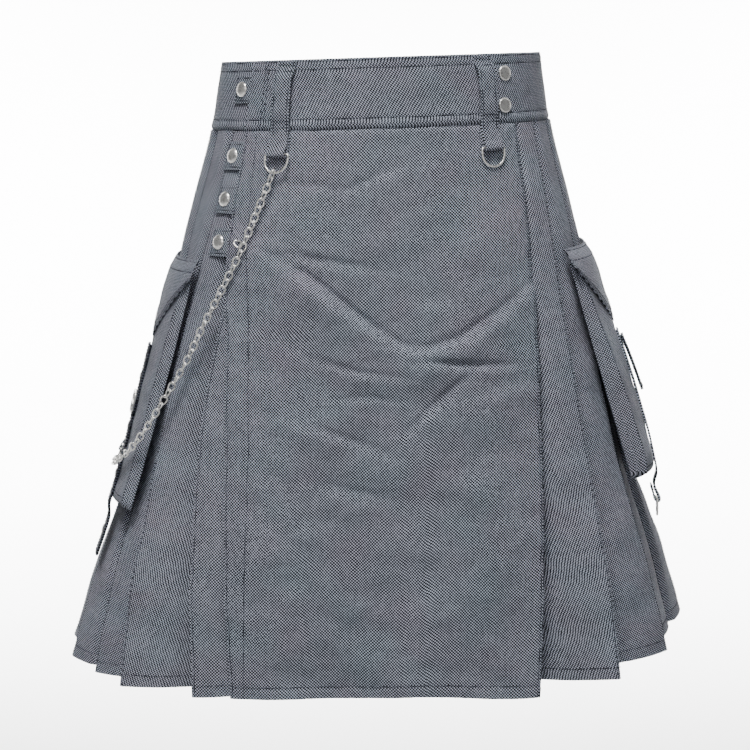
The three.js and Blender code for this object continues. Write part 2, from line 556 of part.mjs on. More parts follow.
// Chain: links through the front ring and the far one, with one spare link hanging at the bend.
const link = { half: 5.3, side: 3.3, end: 2.5, wire: 1.15, pitch: 8.8, hold: 1.7, spare: 7.1 };
const chainUpper = [{ turn: -44.7, drop: 143, out: 5 }, { turn: -47.7, drop: 176, out: 5 }];
const chainLower = [{ turn: -50.5, drop: 200, out: 5 }, { turn: -53.7, drop: 226, out: 5 },
  { turn: -56.8, drop: 251, out: 5 }, { turn: -60.4, drop: 289, out: 6 }, { turn: -63.4, drop: 321, out: 10.5 },
  { turn: -66, drop: 351, out: 15.5 }, { turn: -70.5, drop: 377, out: 18 }, { turn: -77, drop: 394, out: 19.4 },
  { turn: -83, drop: 402, out: 19.8 }];
const linkPoints = [[link.half, 0], [link.end, link.side], [-link.end, link.side], [-link.half, 0],
  [-link.end, -link.side], [link.end, -link.side]].map(([x, y]) => new THREE.Vector2(x, y));
function linkAt(centre, along, outward, twist) {
  const x = along.clone().normalize();
  const level = outward.clone().cross(x).normalize();
  const y = level.applyAxisAngle(x, rad(twist));
  const place = new THREE.Matrix4().makeBasis(x, y, x.clone().cross(y)).setPosition(centre);
  return toSolid(wireLoop(linkPoints, link.wire, 3).applyMatrix4(place));
}
const toPlace = row => around(row.turn, row.drop, row.out);
function outwardAt(point) {
  const turn = THREE.MathUtils.radToDeg(Math.atan2(point.x, -point.y));
  const drop = around(turn, 0).z - point.z;
  return new THREE.Vector3().setFromMatrixColumn(seat(turn, drop, 0), 2);
}
function heldBy(mesh, x, y, towards) {
  mesh.updateMatrix();
  const wire = new THREE.Vector3(x, y, 0).applyMatrix4(mesh.matrix);
  return wire.add(towards.clone().sub(wire).setLength(link.hold));
}
const chainStart = heldBy(frontRings[0], -2, -ring.leg - ring.half + 0.2, toPlace(chainUpper[0]));
const bend = toPlace(chainUpper[1]);
const farSide = rad(-20);
const chainEnd = heldBy(anchorRing, ring.half * Math.cos(farSide), -ring.leg + ring.half * Math.sin(farSide),
  toPlace(chainLower[chainLower.length - 1]));
function linksAlong(points, withFirst, endTwists) {
  const curve = new THREE.CatmullRomCurve3(points);
  const count = Math.round(curve.getLength() / link.pitch);
  const solids = [];
  for (let i = withFirst ? 0 : 1; i <= count; i++) {
    const at = curve.getPointAt(i / count);
    const alternate = (i % 2 ? 38 : -38) + 14 * Math.sin(i * 0.8);
    const twist = i === 0 ? endTwists[0] ?? alternate : i === count ? endTwists[1] ?? alternate : alternate;
    solids.push(linkAt(at, curve.getTangentAt(i / count), outwardAt(at), twist));
  }
  return solids;
}
const spareWay = toPlace({ turn: -50.6, drop: 171, out: 5 }).sub(bend).setLength(link.spare);
const links = [
  ...linksAlong([chainStart, toPlace(chainUpper[0]), bend], true, [90]),
  ...linksAlong([bend, ...chainLower.map(toPlace), chainEnd], false, [null, 90]),
  linkAt(bend.clone().add(spareWay), spareWay, outwardAt(bend), 30),
];
add('chain', toGeometry(wasm.Manifold.union(links)), nickel);

export default group;
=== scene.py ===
import math
import bpy
import numpy as np
from mathutils import Matrix, Vector


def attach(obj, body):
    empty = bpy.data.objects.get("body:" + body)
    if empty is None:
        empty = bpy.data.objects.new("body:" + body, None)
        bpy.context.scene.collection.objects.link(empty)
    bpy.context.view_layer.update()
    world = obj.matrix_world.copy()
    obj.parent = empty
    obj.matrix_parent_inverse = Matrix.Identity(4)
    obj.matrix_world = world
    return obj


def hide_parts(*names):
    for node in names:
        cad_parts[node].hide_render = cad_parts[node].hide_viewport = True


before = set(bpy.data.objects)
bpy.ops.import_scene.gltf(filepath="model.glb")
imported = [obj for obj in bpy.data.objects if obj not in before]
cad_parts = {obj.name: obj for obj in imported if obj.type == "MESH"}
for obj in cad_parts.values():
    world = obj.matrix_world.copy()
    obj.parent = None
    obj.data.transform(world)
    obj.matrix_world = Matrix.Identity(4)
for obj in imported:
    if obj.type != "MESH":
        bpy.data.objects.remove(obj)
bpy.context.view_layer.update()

# Lengths are in mm here and become metres where a mesh is made. A place on the kilt is a turn in degrees
# from the centre front, a drop below the top edge and a distance out from the body line.
lean = math.tan(math.radians(1.8))
clothThick = 1.2
seamDrop = 67  # where the band ends and the skirt begins
hemDrop = 607.0
hemDeep = 11
hemLine = 1 - (hemDeep + 0.5) / (hemDrop - seamDrop)  # the hem's stitches, from 0 at the seam to 1 at the edge

# form: the same line round the body as the solids
body = np.array([  # drop, half width, front depth, back depth, squareness
    (0, 160.5, 120, 118, 2.1), (70, 172, 128, 126, 2.1), (135, 190, 139, 140, 2.15),
    (180, 202, 146, 150, 2.2), (287, 227, 161, 168, 2.3), (381, 251, 173, 182, 2.4),
    (449, 271, 181, 192, 2.45), (518, 296, 188, 202, 2.5), (607, 323, 195, 214, 2.5)])


def smooth(places, values, at):
    x, y = np.asarray(places, float), np.asarray(values, float)
    lo, hi = np.maximum(np.arange(len(x)) - 1, 0), np.minimum(np.arange(len(x)) + 1, len(x) - 1)
    slope = (y[hi] - y[lo]) / (x[hi] - x[lo])
    at = np.asarray(at, float)
    k = np.clip(np.searchsorted(x, at, side="right") - 1, 0, len(x) - 2)
    span = x[k + 1] - x[k]
    t = (at - x[k]) / span
    h = t * t * (3 - 2 * t)
    return y[k] * (1 - h) + y[k + 1] * h + span * (t * (1 - t) ** 2 * slope[k] - t * t * (1 - t) * slope[k + 1])


def step(x, lo, hi):
    t = np.clip((np.asarray(x, float) - lo) / (hi - lo), 0, 1)
    return t * t * (3 - 2 * t)


def around(turn, drop, out=0.0):
    turn, drop, out = np.broadcast_arrays(*(np.asarray(v, float) for v in (turn, drop, out)))
    s, c = np.sin(np.radians(turn)), np.cos(np.radians(turn))
    side, front, back, square = (smooth(body[:, 0], body[:, k], drop) for k in (1, 2, 3, 4))
    depth = np.where(c > 0, front, back) + out
    r = (np.abs(s / (side + out)) ** square + np.abs(c / depth) ** square) ** (-1 / square)
    return np.stack([r * s, -r * c, 35 - drop + lean * r * s], -1)


def perDegree(turn, drop, out=0.0):
    turn = np.asarray(turn)
    return np.linalg.norm(around(turn + 0.5, drop, out) - around(turn - 0.5, drop, out), axis=-1)


def waves(x, y, seed, size=46.0, high=0.5):
    # Slow unevenness of worn cloth, as a few crossing waves.
    rng = np.random.default_rng(seed)
    total = np.zeros(np.broadcast(x, y).shape)
    for _ in range(7):
        angle, phase = rng.uniform(0, 2 * math.pi, 2)
        length = size * rng.uniform(0.6, 1.7)
        total += np.sin(2 * math.pi * (x * math.cos(angle) + y * math.sin(angle)) / length + phase)
    return total * high / 2.6


# materials
class Value:  # a node's output that can be added, multiplied and so on
    def __init__(self, graph, socket):
        self.graph, self.socket = graph, socket

    def math(self, kind, *ins):
        return self.graph.node("ShaderNodeMath", operation=kind, ins=ins)

    def __add__(self, other): return self.math("ADD", self, other)
    def __radd__(self, other): return self.math("ADD", other, self)
    def __sub__(self, other): return self.math("SUBTRACT", self, other)
    def __rsub__(self, other): return self.math("SUBTRACT", other, self)
    def __mul__(self, other): return self.math("MULTIPLY", self, other)
    def __rmul__(self, other): return self.math("MULTIPLY", other, self)
    def sin(self): return self.math("SINE", self)
    def floor(self): return self.math("FLOOR", self)

    def between(self, lo, hi):
        return self.graph.node("ShaderNodeMapRange", ins={"Value": self, "From Min": lo, "From Max": hi})

    def other(self, out):
        return Value(self.graph, self.socket.node.outputs[out])


class Graph:
    def node(self, kind, out=0, ins=(), **settings):
        made = self.tree.nodes.new(kind)
        for key, value in settings.items():
            setattr(made, key, value)
        for key, value in (ins.items() if isinstance(ins, dict) else enumerate(ins)):
            if isinstance(value, Value):
                self.tree.links.new(value.socket, made.inputs[key])
            else:
                made.inputs[key].default_value = value
        return Value(self, made.outputs[out])


class Shader(Graph):
    def __init__(self, name):
        self.material = bpy.data.materials.new(name)
        self.material.use_nodes = True
        self.tree = self.material.node_tree
        self.surface = self.tree.nodes["Principled BSDF"]

    def noise(self, vector, scale, detail=0.0):
        return self.node("ShaderNodeTexNoise", ins={"Vector": vector, "Scale": scale, "Detail": detail})

    def mix(self, share, a, b):
        return self.node("ShaderNodeMix", out=2, data_type="RGBA", ins={0: share, 6: a, 7: b})

    def link(self, value, name):
        self.tree.links.new(value.socket, self.surface.inputs[name])

    def set(self, **values):
        for name, value in values.items():
            self.surface.inputs[name.replace("_", " ")].default_value = value


class Steps(Graph):  # Geometry Nodes that set one small shape on every point
    def __init__(self, name, *sizes):
        self.tree = bpy.data.node_groups.new(name, "GeometryNodeTree")
        face = self.tree.interface
        face.new_socket("Geometry", in_out="INPUT", socket_type="NodeSocketGeometry")
        self.keys = [face.new_socket(size, in_out="INPUT", socket_type="NodeSocketFloat").identifier
                     for size in sizes]
        face.new_socket("Geometry", in_out="OUTPUT", socket_type="NodeSocketGeometry")
        start = self.tree.nodes.new("NodeGroupInput")
        self.given, *self.sizes = [Value(self, socket) for socket in start.outputs][:len(sizes) + 1]

    def setOut(self, points, shape, turned, material):
        copies = self.node("GeometryNodeInstanceOnPoints",
                           ins={"Points": points, "Instance": shape, "Rotation": turned})
        real = self.node("GeometryNodeRealizeInstances", ins=[copies])
        painted = self.node("GeometryNodeSetMaterial", ins={"Geometry": real, "Material": material})
        self.tree.links.new(painted.socket, self.tree.nodes.new("NodeGroupOutput").inputs[0])

    def grow(self, name, points, edges, sizes, turned=()):  # runs the nodes on a mesh and keeps the plain result
        mesh = bpy.data.meshes.new(name)
        mesh.from_pydata(points, edges, [])
        if len(turned):
            mesh.attributes.new("turned", "FLOAT_VECTOR", "POINT").data.foreach_set("vector", np.ravel(turned))
        piece = bpy.data.objects.new(name, mesh)
        bpy.context.collection.objects.link(piece)
        rows = piece.modifiers.new("rows", "NODES")
        rows.node_group = self.tree
        for key, size in zip(self.keys, sizes):
            rows[key] = size
        piece.data = bpy.data.meshes.new_from_object(piece.evaluated_get(bpy.context.evaluated_depsgraph_get()))
        piece.modifiers.clear()
        piece.data.polygons.foreach_set("use_smooth", [True] * len(piece.data.polygons))
        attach(piece, "kilt")
        return piece


def twill(name, look):
    # Pale and dark threads crossing in fine diagonals, with slow changes of tone.
    s = Shader(name)
    uv = s.node("ShaderNodeUVMap", uv_map="cloth")
    x = s.node("ShaderNodeSeparateXYZ", ins=[uv])
    y = x.other(1)
    wander = s.noise(uv, 1000 / 14, 1.0) * look["wander"]
    a, b = (x + y) * (1000 / look["weft"]) + wander, (x - y) * (1000 / look["warp"]) + wander
    threads = (a * (2 * math.pi)).sin() * 0.46 + (b * (2 * math.pi)).sin() * 0.54
    thread = s.node("ShaderNodeCombineXYZ", ins=[a.floor(), b.floor(), 0.0])
    picked = s.node("ShaderNodeTexWhiteNoise", ins=[thread], noise_dimensions="2D")
    run = s.noise(s.node("ShaderNodeCombineXYZ", ins=[x * 30.0, y * 240.0, 0.0]), 1.0, 2.0).between(0.25, 0.75)
    fall = s.noise(s.node("ShaderNodeCombineXYZ", ins=[x * 260.0, y * 24.0, 0.0]), 1.0, 2.0).between(0.25, 0.75)
    patch = s.noise(s.node("ShaderNodeCombineXYZ", ins=[x * 13.0, y * 34.0, 0.0]), 1.0, 3.0).between(0.3, 0.7)
    tone = threads * look["contrast"] + picked * 0.5 + run * 0.14 + fall * 0.14 \
        + patch * look["patch"] + look["lift"]
    slow = s.noise(uv, 1000 / 60, 2.0).between(0.3, 0.7)
    cloth = s.mix(tone.between(0.0, 1.0), look["dark"], s.mix(slow, look["cool"], look["warm"]))
    s.link(cloth, "Base Color")
    s.link(0.8 + slow * 0.1, "Roughness")
    s.link(s.node("ShaderNodeBump", ins={"Strength": 0.15, "Distance": 0.0001, "Height": threads}), "Normal")
    s.set(Sheen_Weight=0.08, Sheen_Roughness=0.45, Specular_IOR_Level=0.25)
    return s.material


weave = {"weft": 2.9, "warp": 3.0, "wander": 0.9, "contrast": 3.0, "lift": -0.8, "patch": 0.34,
         "dark": (0.002, 0.003, 0.007, 1), "cool": (0.64, 0.74, 0.86, 1), "warm": (0.7, 0.69, 0.83, 1)}
greyTwill = twill("grey_twill_cloth", weave)
pleatTwill = twill("pleat_twill_cloth", {**weave, "cool": (0.66, 0.74, 0.87, 1), "warm": (0.7, 0.69, 0.82, 1)})
darkTwill = twill("strap_twill_cloth", {**weave, "cool": (0.11, 0.125, 0.165, 1), "warm": (0.12, 0.125, 0.16, 1)})


def metal(name, look):
    s = Shader(name)
    where = s.node("ShaderNodeTexCoord", out="Object")
    rub = s.noise(where, look["rub"], 3.0).between(0.3, 0.75)
    s.link(s.mix(rub, look["dark"], look["light"]), "Base Color")
    s.link(rub * look["spread"] + look["rough"], "Roughness")
    s.set(Metallic=0.85)
    return s.material


nickel = metal("nickel_metal", {"rub": 260, "rough": 0.22, "spread": 0.14,
                                "dark": (0.78, 0.76, 0.73, 1), "light": (0.97, 0.96, 0.93, 1)})


def threadMaterial(look):
    s = Shader("stitch_thread")
    where = s.node("ShaderNodeTexCoord", out="Object")
    tone = s.noise(where, look["scale"]).between(0.35, 0.65)
    s.link(s.mix(tone, look["dark"], look["light"]), "Base Color")
    s.set(Roughness=0.75)
    return s.material


thread = threadMaterial({"scale": 900, "dark": (0.008, 0.01, 0.018, 1), "light": (0.035, 0.04, 0.06, 1)})


# making meshes
def dress(name, mesh, material, stands=(), slot=None, rides="kilt", angle=50):
    mesh.materials.append(material)
    mesh.polygons.foreach_set("use_smooth", [True] * len(mesh.polygons))
    mesh.set_sharp_from_angle(angle=math.radians(angle))
    piece = bpy.data.objects.new(name, mesh)
    bpy.context.collection.objects.link(piece)
    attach(piece, rides)
    if stands:
        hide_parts(*stands)
    return piece


def lengths(grid):
    # How far each point of a grid lies along the cloth, across and down.
    across = np.cumsum(np.linalg.norm(np.diff(grid, axis=1, prepend=grid[:, :1]), axis=-1), axis=1)
    down = np.cumsum(np.linalg.norm(np.diff(grid, axis=0, prepend=grid[:1]), axis=-1), axis=0)
    return across - across[:, grid.shape[1] // 2, None], down


def outward(grid):
    n = np.cross(np.gradient(grid, axis=0), np.gradient(grid, axis=1))
    return n / np.maximum(np.linalg.norm(n, axis=-1, keepdims=True), 1e-9)


def shellMesh(name, outer, inner, closed=False):
    # A thin wall between two grids, with UVs in metres of cloth.
    rows, columns = outer.shape[:2]
    kept = columns - 1 if closed else columns
    ids = np.arange(rows * kept).reshape(rows, kept)
    if closed:
        ids = np.hstack([ids, ids[:, :1]])
    far = ids + rows * kept
    uv = np.stack(lengths(outer), -1) * 0.001
    faces, places = [], []

    def put(corners):
        faces.append(np.stack([g.ravel() for g, _ in corners], -1))
        places.append(np.stack([p.reshape(-1, 2) for _, p in corners], 1))

    a, b, c, d = (slice(None, -1), slice(None, -1)), (slice(1, None), slice(None, -1)), \
        (slice(1, None), slice(1, None)), (slice(None, -1), slice(1, None))
    put([(ids[k], uv[k]) for k in (a, b, c, d)])
    put([(far[k], uv[k]) for k in (d, c, b, a)])
    up, low = slice(None, -1), slice(1, None)
    if not closed:
        put([(ids[up, 0], uv[up, 0]), (far[up, 0], uv[up, 0]), (far[low, 0], uv[low, 0]),
             (ids[low, 0], uv[low, 0])])
        put([(ids[low, -1], uv[low, -1]), (far[low, -1], uv[low, -1]), (far[up, -1], uv[up, -1]),
             (ids[up, -1], uv[up, -1])])
    put([(ids[0, up], uv[0, up]), (ids[0, low], uv[0, low]), (far[0, low], uv[0, low]), (far[0, up], uv[0, up])])
    put([(ids[-1, low], uv[-1, low]), (ids[-1, up], uv[-1, up]), (far[-1, up], uv[-1, up]),
         (far[-1, low], uv[-1, low])])
    points = np.concatenate([outer[:, :kept].reshape(-1, 3), inner[:, :kept].reshape(-1, 3)]) * 0.001
    mesh = bpy.data.meshes.new(name)
    mesh.from_pydata(points.tolist(), [], np.concatenate(faces).tolist())
    layer = mesh.uv_layers.new(name="cloth")
    layer.data.foreach_set("uv", np.concatenate(places).ravel())
    return mesh


class Panel:
    # A piece of cloth from a function of its place across and down, each 0 to 1.
    def __init__(self, name, place, across, down, material, thick=clothThick, stands=(), slot=None, closed=False,
                 turned=1.0):
        self.name = name
        self.us, self.vs = np.linspace(0, 1, across + 1), np.linspace(0, 1, down + 1)
        self.outer = place(*np.meshgrid(self.us, self.vs))
        self.normal = outward(self.outer) * turned
        mesh = shellMesh(name, self.outer, self.outer - self.normal * thick, closed)
        self.piece = dress(name, mesh, material, stands, slot)
        self.seams = []

    def at(self, u, v, lift=0.25):
        u, v = np.broadcast_arrays(np.asarray(u, float), np.asarray(v, float))
        x, y = u * (len(self.us) - 1), v * (len(self.vs) - 1)
        i, j = np.clip(y.astype(int), 0, len(self.vs) - 2), np.clip(x.astype(int), 0, len(self.us) - 2)
        fy, fx = (y - i)[..., None], (x - j)[..., None]
        def pick(grid):
            return (grid[i, j] * (1 - fx) + grid[i, j + 1] * fx) * (1 - fy) \
                + (grid[i + 1, j] * (1 - fx) + grid[i + 1, j + 1] * fx) * fy
        return pick(self.outer) + pick(self.normal) * lift

    def sew(self, u, v, lift=0.25):
        self.seams.append(self.at(u, v, lift))


def strap(name, path, width, turn, material, thick=2.2, base=around, stands=(), slot=None, columns=16, fine=1.6):
    # A band of cloth that follows a path of (out, drop) down one line of the kilt.
    path = np.array(path, float)
    along = np.concatenate([[0], np.cumsum(np.linalg.norm(np.diff(path, axis=0), axis=1))])
    at = np.linspace(0, along[-1], max(int(along[-1] / fine), 4) + 1)
    line = np.stack([smooth(along, path[:, k], at) for k in (0, 1)], -1)
    way = np.gradient(line, axis=0)
    side = np.stack([way[:, 1], -way[:, 0]], -1) / np.linalg.norm(way, axis=1)[:, None]

    def place(u, v, shift):
        i = np.round(v * (len(at) - 1)).astype(int)
        out, drop = (line[i, k] + side[i, k] * shift for k in (0, 1))
        return base(turn + (u - 0.5) * width / perDegree(turn, drop, out), drop, out)

    def stitched(u):
        rim = np.minimum(u, 1 - u) * width
        return 0.15 - 0.4 * np.exp(-((rim - 2.3) / 0.8) ** 2) - 0.3 * np.exp(-rim / 0.5)
    return Panel(name, lambda u, v: place(u, v, thick / 2 + stitched(u)), columns, len(at) - 1, material, thick,
                 stands, slot)


def seat(turn, drop, out, base=around, reach=9.0):
    # The frame of a hard piece: x across, y up the cloth, z out of it.
    at = base(turn, drop, out)
    x = Vector(base(turn + 1, drop, out) - base(turn - 1, drop, out)).normalized()
    up = Vector(at - base(turn, drop + reach, out)).normalized()
    z = x.cross(up).normalized()
    axes = Matrix((x, z.cross(x), z)).transposed().to_4x4()
    axes.translation = Vector(at)
    return axes


def placed(points, matrix):
    m = np.array(matrix)
    return np.asarray(points, float) @ m[:3, :3].T + m[:3, 3]


def tube(points, radius, sides=10, closed=True):
    # Points and faces of round wire along a line.
    points = np.asarray(points, float)
    count = len(points)
    if closed:
        way = np.roll(points, -1, 0) - np.roll(points, 1, 0)
    else:
        way = np.gradient(points, axis=0)
    way /= np.linalg.norm(way, axis=1)[:, None]
    middle = points.mean(0)
    flat = np.linalg.svd(points - middle)[2][2]
    side = np.cross(way, flat)
    side /= np.linalg.norm(side, axis=1)[:, None]
    up = np.cross(side, way)
    angle = np.arange(sides) * 2 * math.pi / sides
    ring = points[:, None] + radius * (np.cos(angle)[None, :, None] * side[:, None]
                                       + np.sin(angle)[None, :, None] * up[:, None])
    faces = []
    for i in range(count if closed else count - 1):
        j = (i + 1) % count
        for k in range(sides):
            after = (k + 1) % sides
            faces.append((i * sides + k, i * sides + after, j * sides + after, j * sides + k))
    if not closed:
        faces += [tuple(range(sides))[::-1], tuple(range((count - 1) * sides, count * sides))]
    return ring.reshape(-1, 3), faces


def lathe(profile, segments=32):
    # Points and faces of a profile of (radius, height) turned round Z.
    rows = [(max(r, 0.0), h) for r, h in profile]
    angle = np.arange(segments) * 2 * math.pi / segments
    points = np.concatenate([np.stack([r * np.cos(angle), r * np.sin(angle), np.full(segments, h)], -1)
                             for r, h in rows])
    faces = [(i * segments + k, i * segments + (k + 1) % segments, (i + 1) * segments + (k + 1) % segments,
              (i + 1) * segments + k) for i in range(len(rows) - 1) for k in range(segments)]
    return points, faces


def solid(name, parts, material, **given):
    # One mesh from several lists of points and faces.
    points, faces, base = [], [], 0
    for p, f in parts:
        points.append(np.asarray(p))
        faces += [tuple(i + base for i in face) for face in f]
        base += len(p)
    mesh = bpy.data.meshes.new(name)
    mesh.from_pydata((np.concatenate(points) * 0.001).tolist(), [], faces)
    mesh.validate()
    return dress(name, mesh, material, **given)


# waistband
print("waistband")
band = {"from": -57.2, "to": 420, "high": 66.5, "thick": 2.0, "rows": (2.2, 9.6, 56.5), "roll": 0.5}


def bandPlace(u, v):
    turn, drop = band["from"] + (band["to"] - band["from"]) * u, band["high"] * v
    out = -4 * step(turn, 281, 293) + waves(turn * 2.5, drop, 3, 60, 0.35)
    for row in band["rows"]:
        out = out - 0.35 * np.exp(-((drop - row) / 1.3) ** 2)
    out = out + 0.5 * np.exp(-((drop - 61.5) / 2.6) ** 2)
    out = out - band["roll"] * (np.exp(-drop / 1.2) + 2.6 * np.exp(-(band["high"] - drop) / 1.2))
    return around(turn, drop, out)


waistband = Panel("waistband_cloth", bandPlace, 420, 66, greyTwill, band["thick"], ["waistband"], "grey_twill")


def bandU(turn):
    return (np.asarray(turn, float) - band["from"]) / (band["to"] - band["from"])


for row in band["rows"]:
    waistband.sew(np.linspace(bandU(-55.5), bandU(302), 700), row / band["high"])
for turn in (-50.6, -49.2):
    waistband.sew(bandU(turn), np.linspace(0.03, 0.97, 30))

# aprons
print("aprons")
foldDrops = (seamDrop, 181, 314, hemDrop)
aprons = {"left": (-57.2, -54.6, -47.6, -38.2), "right": (57.2, 53, 48.6, 39.8), "free": (44, 38, 32, 25)}
creases = [  # line of (turn, drop), half width, height of the ridge, depth of the trough above it
    ([(-40, 186), (-27, 206), (-15, 231), (-3, 257), (7, 273)], 9, 5.8, 4.4),
    ([(5, 274), (16, 278), (27, 269), (40, 247), (53, 220)], 9, 5.0, 3.2),
    ([(-34, 187), (-20, 194), (-4, 201)], 9, 1.2, 3.0),
    ([(12, 289), (26, 294), (42, 298)], 7, 2.2, 3.2),
    ([(30, 300), (20, 326), (9, 356)], 8, 2.0, 2.4),
    ([(20, 330), (32, 324), (46, 316)], 12, 2.4, 0.6),
    ([(-24, 283), (-8, 298), (8, 304)], 7, 2.0, 2.0),
    ([(-15, 322), (-4, 321), (7, 326)], 6, 1.2, 1.5),
    ([(-26, 344), (-12, 360), (0, 374)], 9, 1.8, 1.9),
    ([(-19, 404), (-8, 412), (0, 417)], 9, 1.3, 1.5),
    ([(-38, 90), (-22, 95), (-4, 100)], 6, 0.9, 1.1),
    ([(-40, 119), (-27, 122), (-15, 125)], 7, 1.1, 1.2),
    ([(13, 101), (0, 113), (-16, 131)], 8, 1.2, 1.5),
]


def ripple(turn, drop):
    mm = perDegree(turn, drop)
    total = np.zeros(np.broadcast(turn, drop).shape)
    for line, wide, high, deep in creases:
        best, signed, share = np.full(total.shape, 1e9), np.zeros(total.shape), np.zeros(total.shape)
        count = len(line) - 1
        for n, ((t0, d0), (t1, d1)) in enumerate(zip(line[:-1], line[1:])):
            ax, ay = (t1 - t0) * mm, d1 - d0
            px, py = (turn - t0) * mm, drop - d0
            size = ax * ax + ay * ay
            t = np.clip((px * ax + py * ay) / size, 0, 1)
            dx, dy = px - t * ax, py - t * ay
            away = np.hypot(dx, dy)
            side = np.sign(ax * py - ay * px) * np.where(ax >= 0, 1, -1)
            near = away < best
            best, signed = np.where(near, away, best), np.where(near, away * side, signed)
            share = np.where(near, (n + t) / count, share)
        ends = 0.3 + 0.7 * np.sin(math.pi * share)
        below, above = signed - 0.5 * wide, signed + 0.5 * wide
        ridge = np.exp(-(below / np.where(below > 0, 3.0 * wide, 0.85 * wide)) ** 2)
        trough = np.exp(-(above / np.where(above > 0, 0.6 * wide, 0.42 * wide)) ** 2)
        off = np.exp(-(np.maximum(best - np.abs(signed), 0) / wide) ** 2)
        total += ends * off * (high * ridge - deep * trough)
    return total


def foldAt(row, drop):
    return smooth(foldDrops, row, drop)


def flare(drop):
    return ((drop - seamDrop) / (hemDrop - seamDrop)) ** 1.15


def apronPlace(u, v):
    drop = seamDrop + (hemDrop - seamDrop) * v
    turn = foldAt(aprons["left"], drop) * (1 - u) + foldAt(aprons["right"], drop) * u
    mm = perDegree(turn, drop)
    out = ripple(turn, drop) * step(drop, 80, 125)
    out = out + (0.8 + waves(turn * mm, drop, 11, 90, 0.7)) * step(drop, 90, 200)
    out = out + waves(turn * mm, drop, 12, 26, 0.22)
    out = out + waves(turn * mm * 0.4, drop, 13, 34, 0.5) * step(drop, 100, 200)
    edge = np.minimum(u, 1 - u) * (foldAt(aprons["right"], drop) - foldAt(aprons["left"], drop)) * mm
    out = out - 0.5 * np.exp(-edge / 0.9) - 0.3 * np.exp(-((edge - 3) / 1.2) ** 2)
    out = out - 0.4 * np.exp(-((hemDrop - hemDeep - drop) / 1.6) ** 2)
    out = out + 0.5 * step(drop, hemDrop - hemDeep, hemDrop - 8)
    out = out + 1.6 * step(drop, 420, 600) * np.sin(np.radians(turn) * 9 + 0.8)
    out = out - 1.7 * np.exp((seamDrop - drop) / 2.2)
    return around(turn, drop + 8 * v ** 6 * step(turn, 8, 38), np.maximum(out, -2.6))


apron = Panel("front_apron_cloth", apronPlace, 150, 210, greyTwill, clothThick, ["front_apron"], "grey_twill")
down = np.linspace(0.004, 0.996, 260)


def apronU(turn, v):
    drop = seamDrop + (hemDrop - seamDrop) * v
    left, right = foldAt(aprons["left"], drop), foldAt(aprons["right"], drop)
    return (turn - left) / (right - left)


apron.sew(0.0085, down)
apron.sew(1 - 0.0085, down)
# a row of dark thread right on the apron's right edge: partly the real stitched line there, partly painted shade for
# the gap along that edge
apron.sew(0.9985, down, 0.1)
placketTurn = smooth((132, 338, 604), (-49.3, -40, -35.1), seamDrop + (hemDrop - seamDrop) * down)
apron.sew(apronU(placketTurn, down), down)
apron.sew(np.linspace(0.01, 0.99, 240), hemLine)


def underPlace(u, v):
    drop = seamDrop + (hemDrop - seamDrop) * v
    left, right = foldAt(leftFolds[0][0], drop), foldAt(aprons["free"], drop)
    turn = left + (right - left) * u
    away = u * (right - left) * perDegree(turn, drop)
    opening = flare(drop)
    out = (-4.9 + 8.9 * opening) * (1 - step(away, 0, 60)) + (-5.4 - 7.6 * opening) * step(away, 0, 60)
    return around(turn, drop, out + waves(turn * 3, drop, 21, 60, 0.4) * step(drop, 100, 200))


# pleats
print("pleats")
# For each fold: its edge's turn at the four drops, how far out it is at the seam and at the hem, and how far
# in its tuck lies at the hem.
rightFolds = [
    ((57.2, 53, 48.6, 39.8), -1.6, -1.6, -50), ((66.6, 61.8, 59, 55.3), 0, 8, -46),
    ((76.5, 75.2, 74.4, 74.8), 0, -12, -44), ((87, 87.4, 88, 89), 0, -16, -40),
    ((98, 98.3, 98.6, 99.3), 0, 9, -36), ((110, 110.8, 111.6, 113.5), 0, 2, -32),
    ((122.5, 123.4, 124.5, 127), 0, 6, -27), ((135, 136.2, 137.6, 140.6), 0, 0, -29),
    ((148, 149.2, 150.6, 153.4), 0, 4, -24), ((161.5, 162.4, 163.4, 165.6), 0, 1, -27),
    ((178.4, 178.2, 177.8, 177), 0, 3, -24)]
leftFolds = [
    ((-49, -51.8, -54, -45.7), -4.9, 4, -46), ((-66, -66.4, -68, -61.7), -4.6, 1, -48),
    ((-77, -77, -76.5, -72), -2.6, -8, -42), ((-88, -87.5, -86.5, -83), 0, 2, -38),
    ((-99, -98.8, -98, -95.5), 0, 9, -36), ((-111, -111, -110.8, -109.5), 0, 3, -31),
    ((-123, -123.4, -124, -124), 0, 5, -27), ((-135.5, -136.6, -137.8, -139), 0, 0, -29),
    ((-148, -149.4, -151, -153), 0, 5, -25), ((-161.5, -162.6, -164, -166), 0, 0, -28),
    ((-178.4, -178.2, -177.8, -177), 0, 3, -24)]
ply = 2.0
centreBack = {"right": (180.5, -6.4, 3), "left": (-179.88, -4, 8)}  # the right side passes behind the left
underApron = Panel("under_apron_cloth", underPlace, 90, 110, pleatTwill, clothThick, ["under_apron"], "pleat_twill")
underApron.sew(0.008, down)
underApron.sew(np.linspace(0.01, 0.99, 200), hemLine)


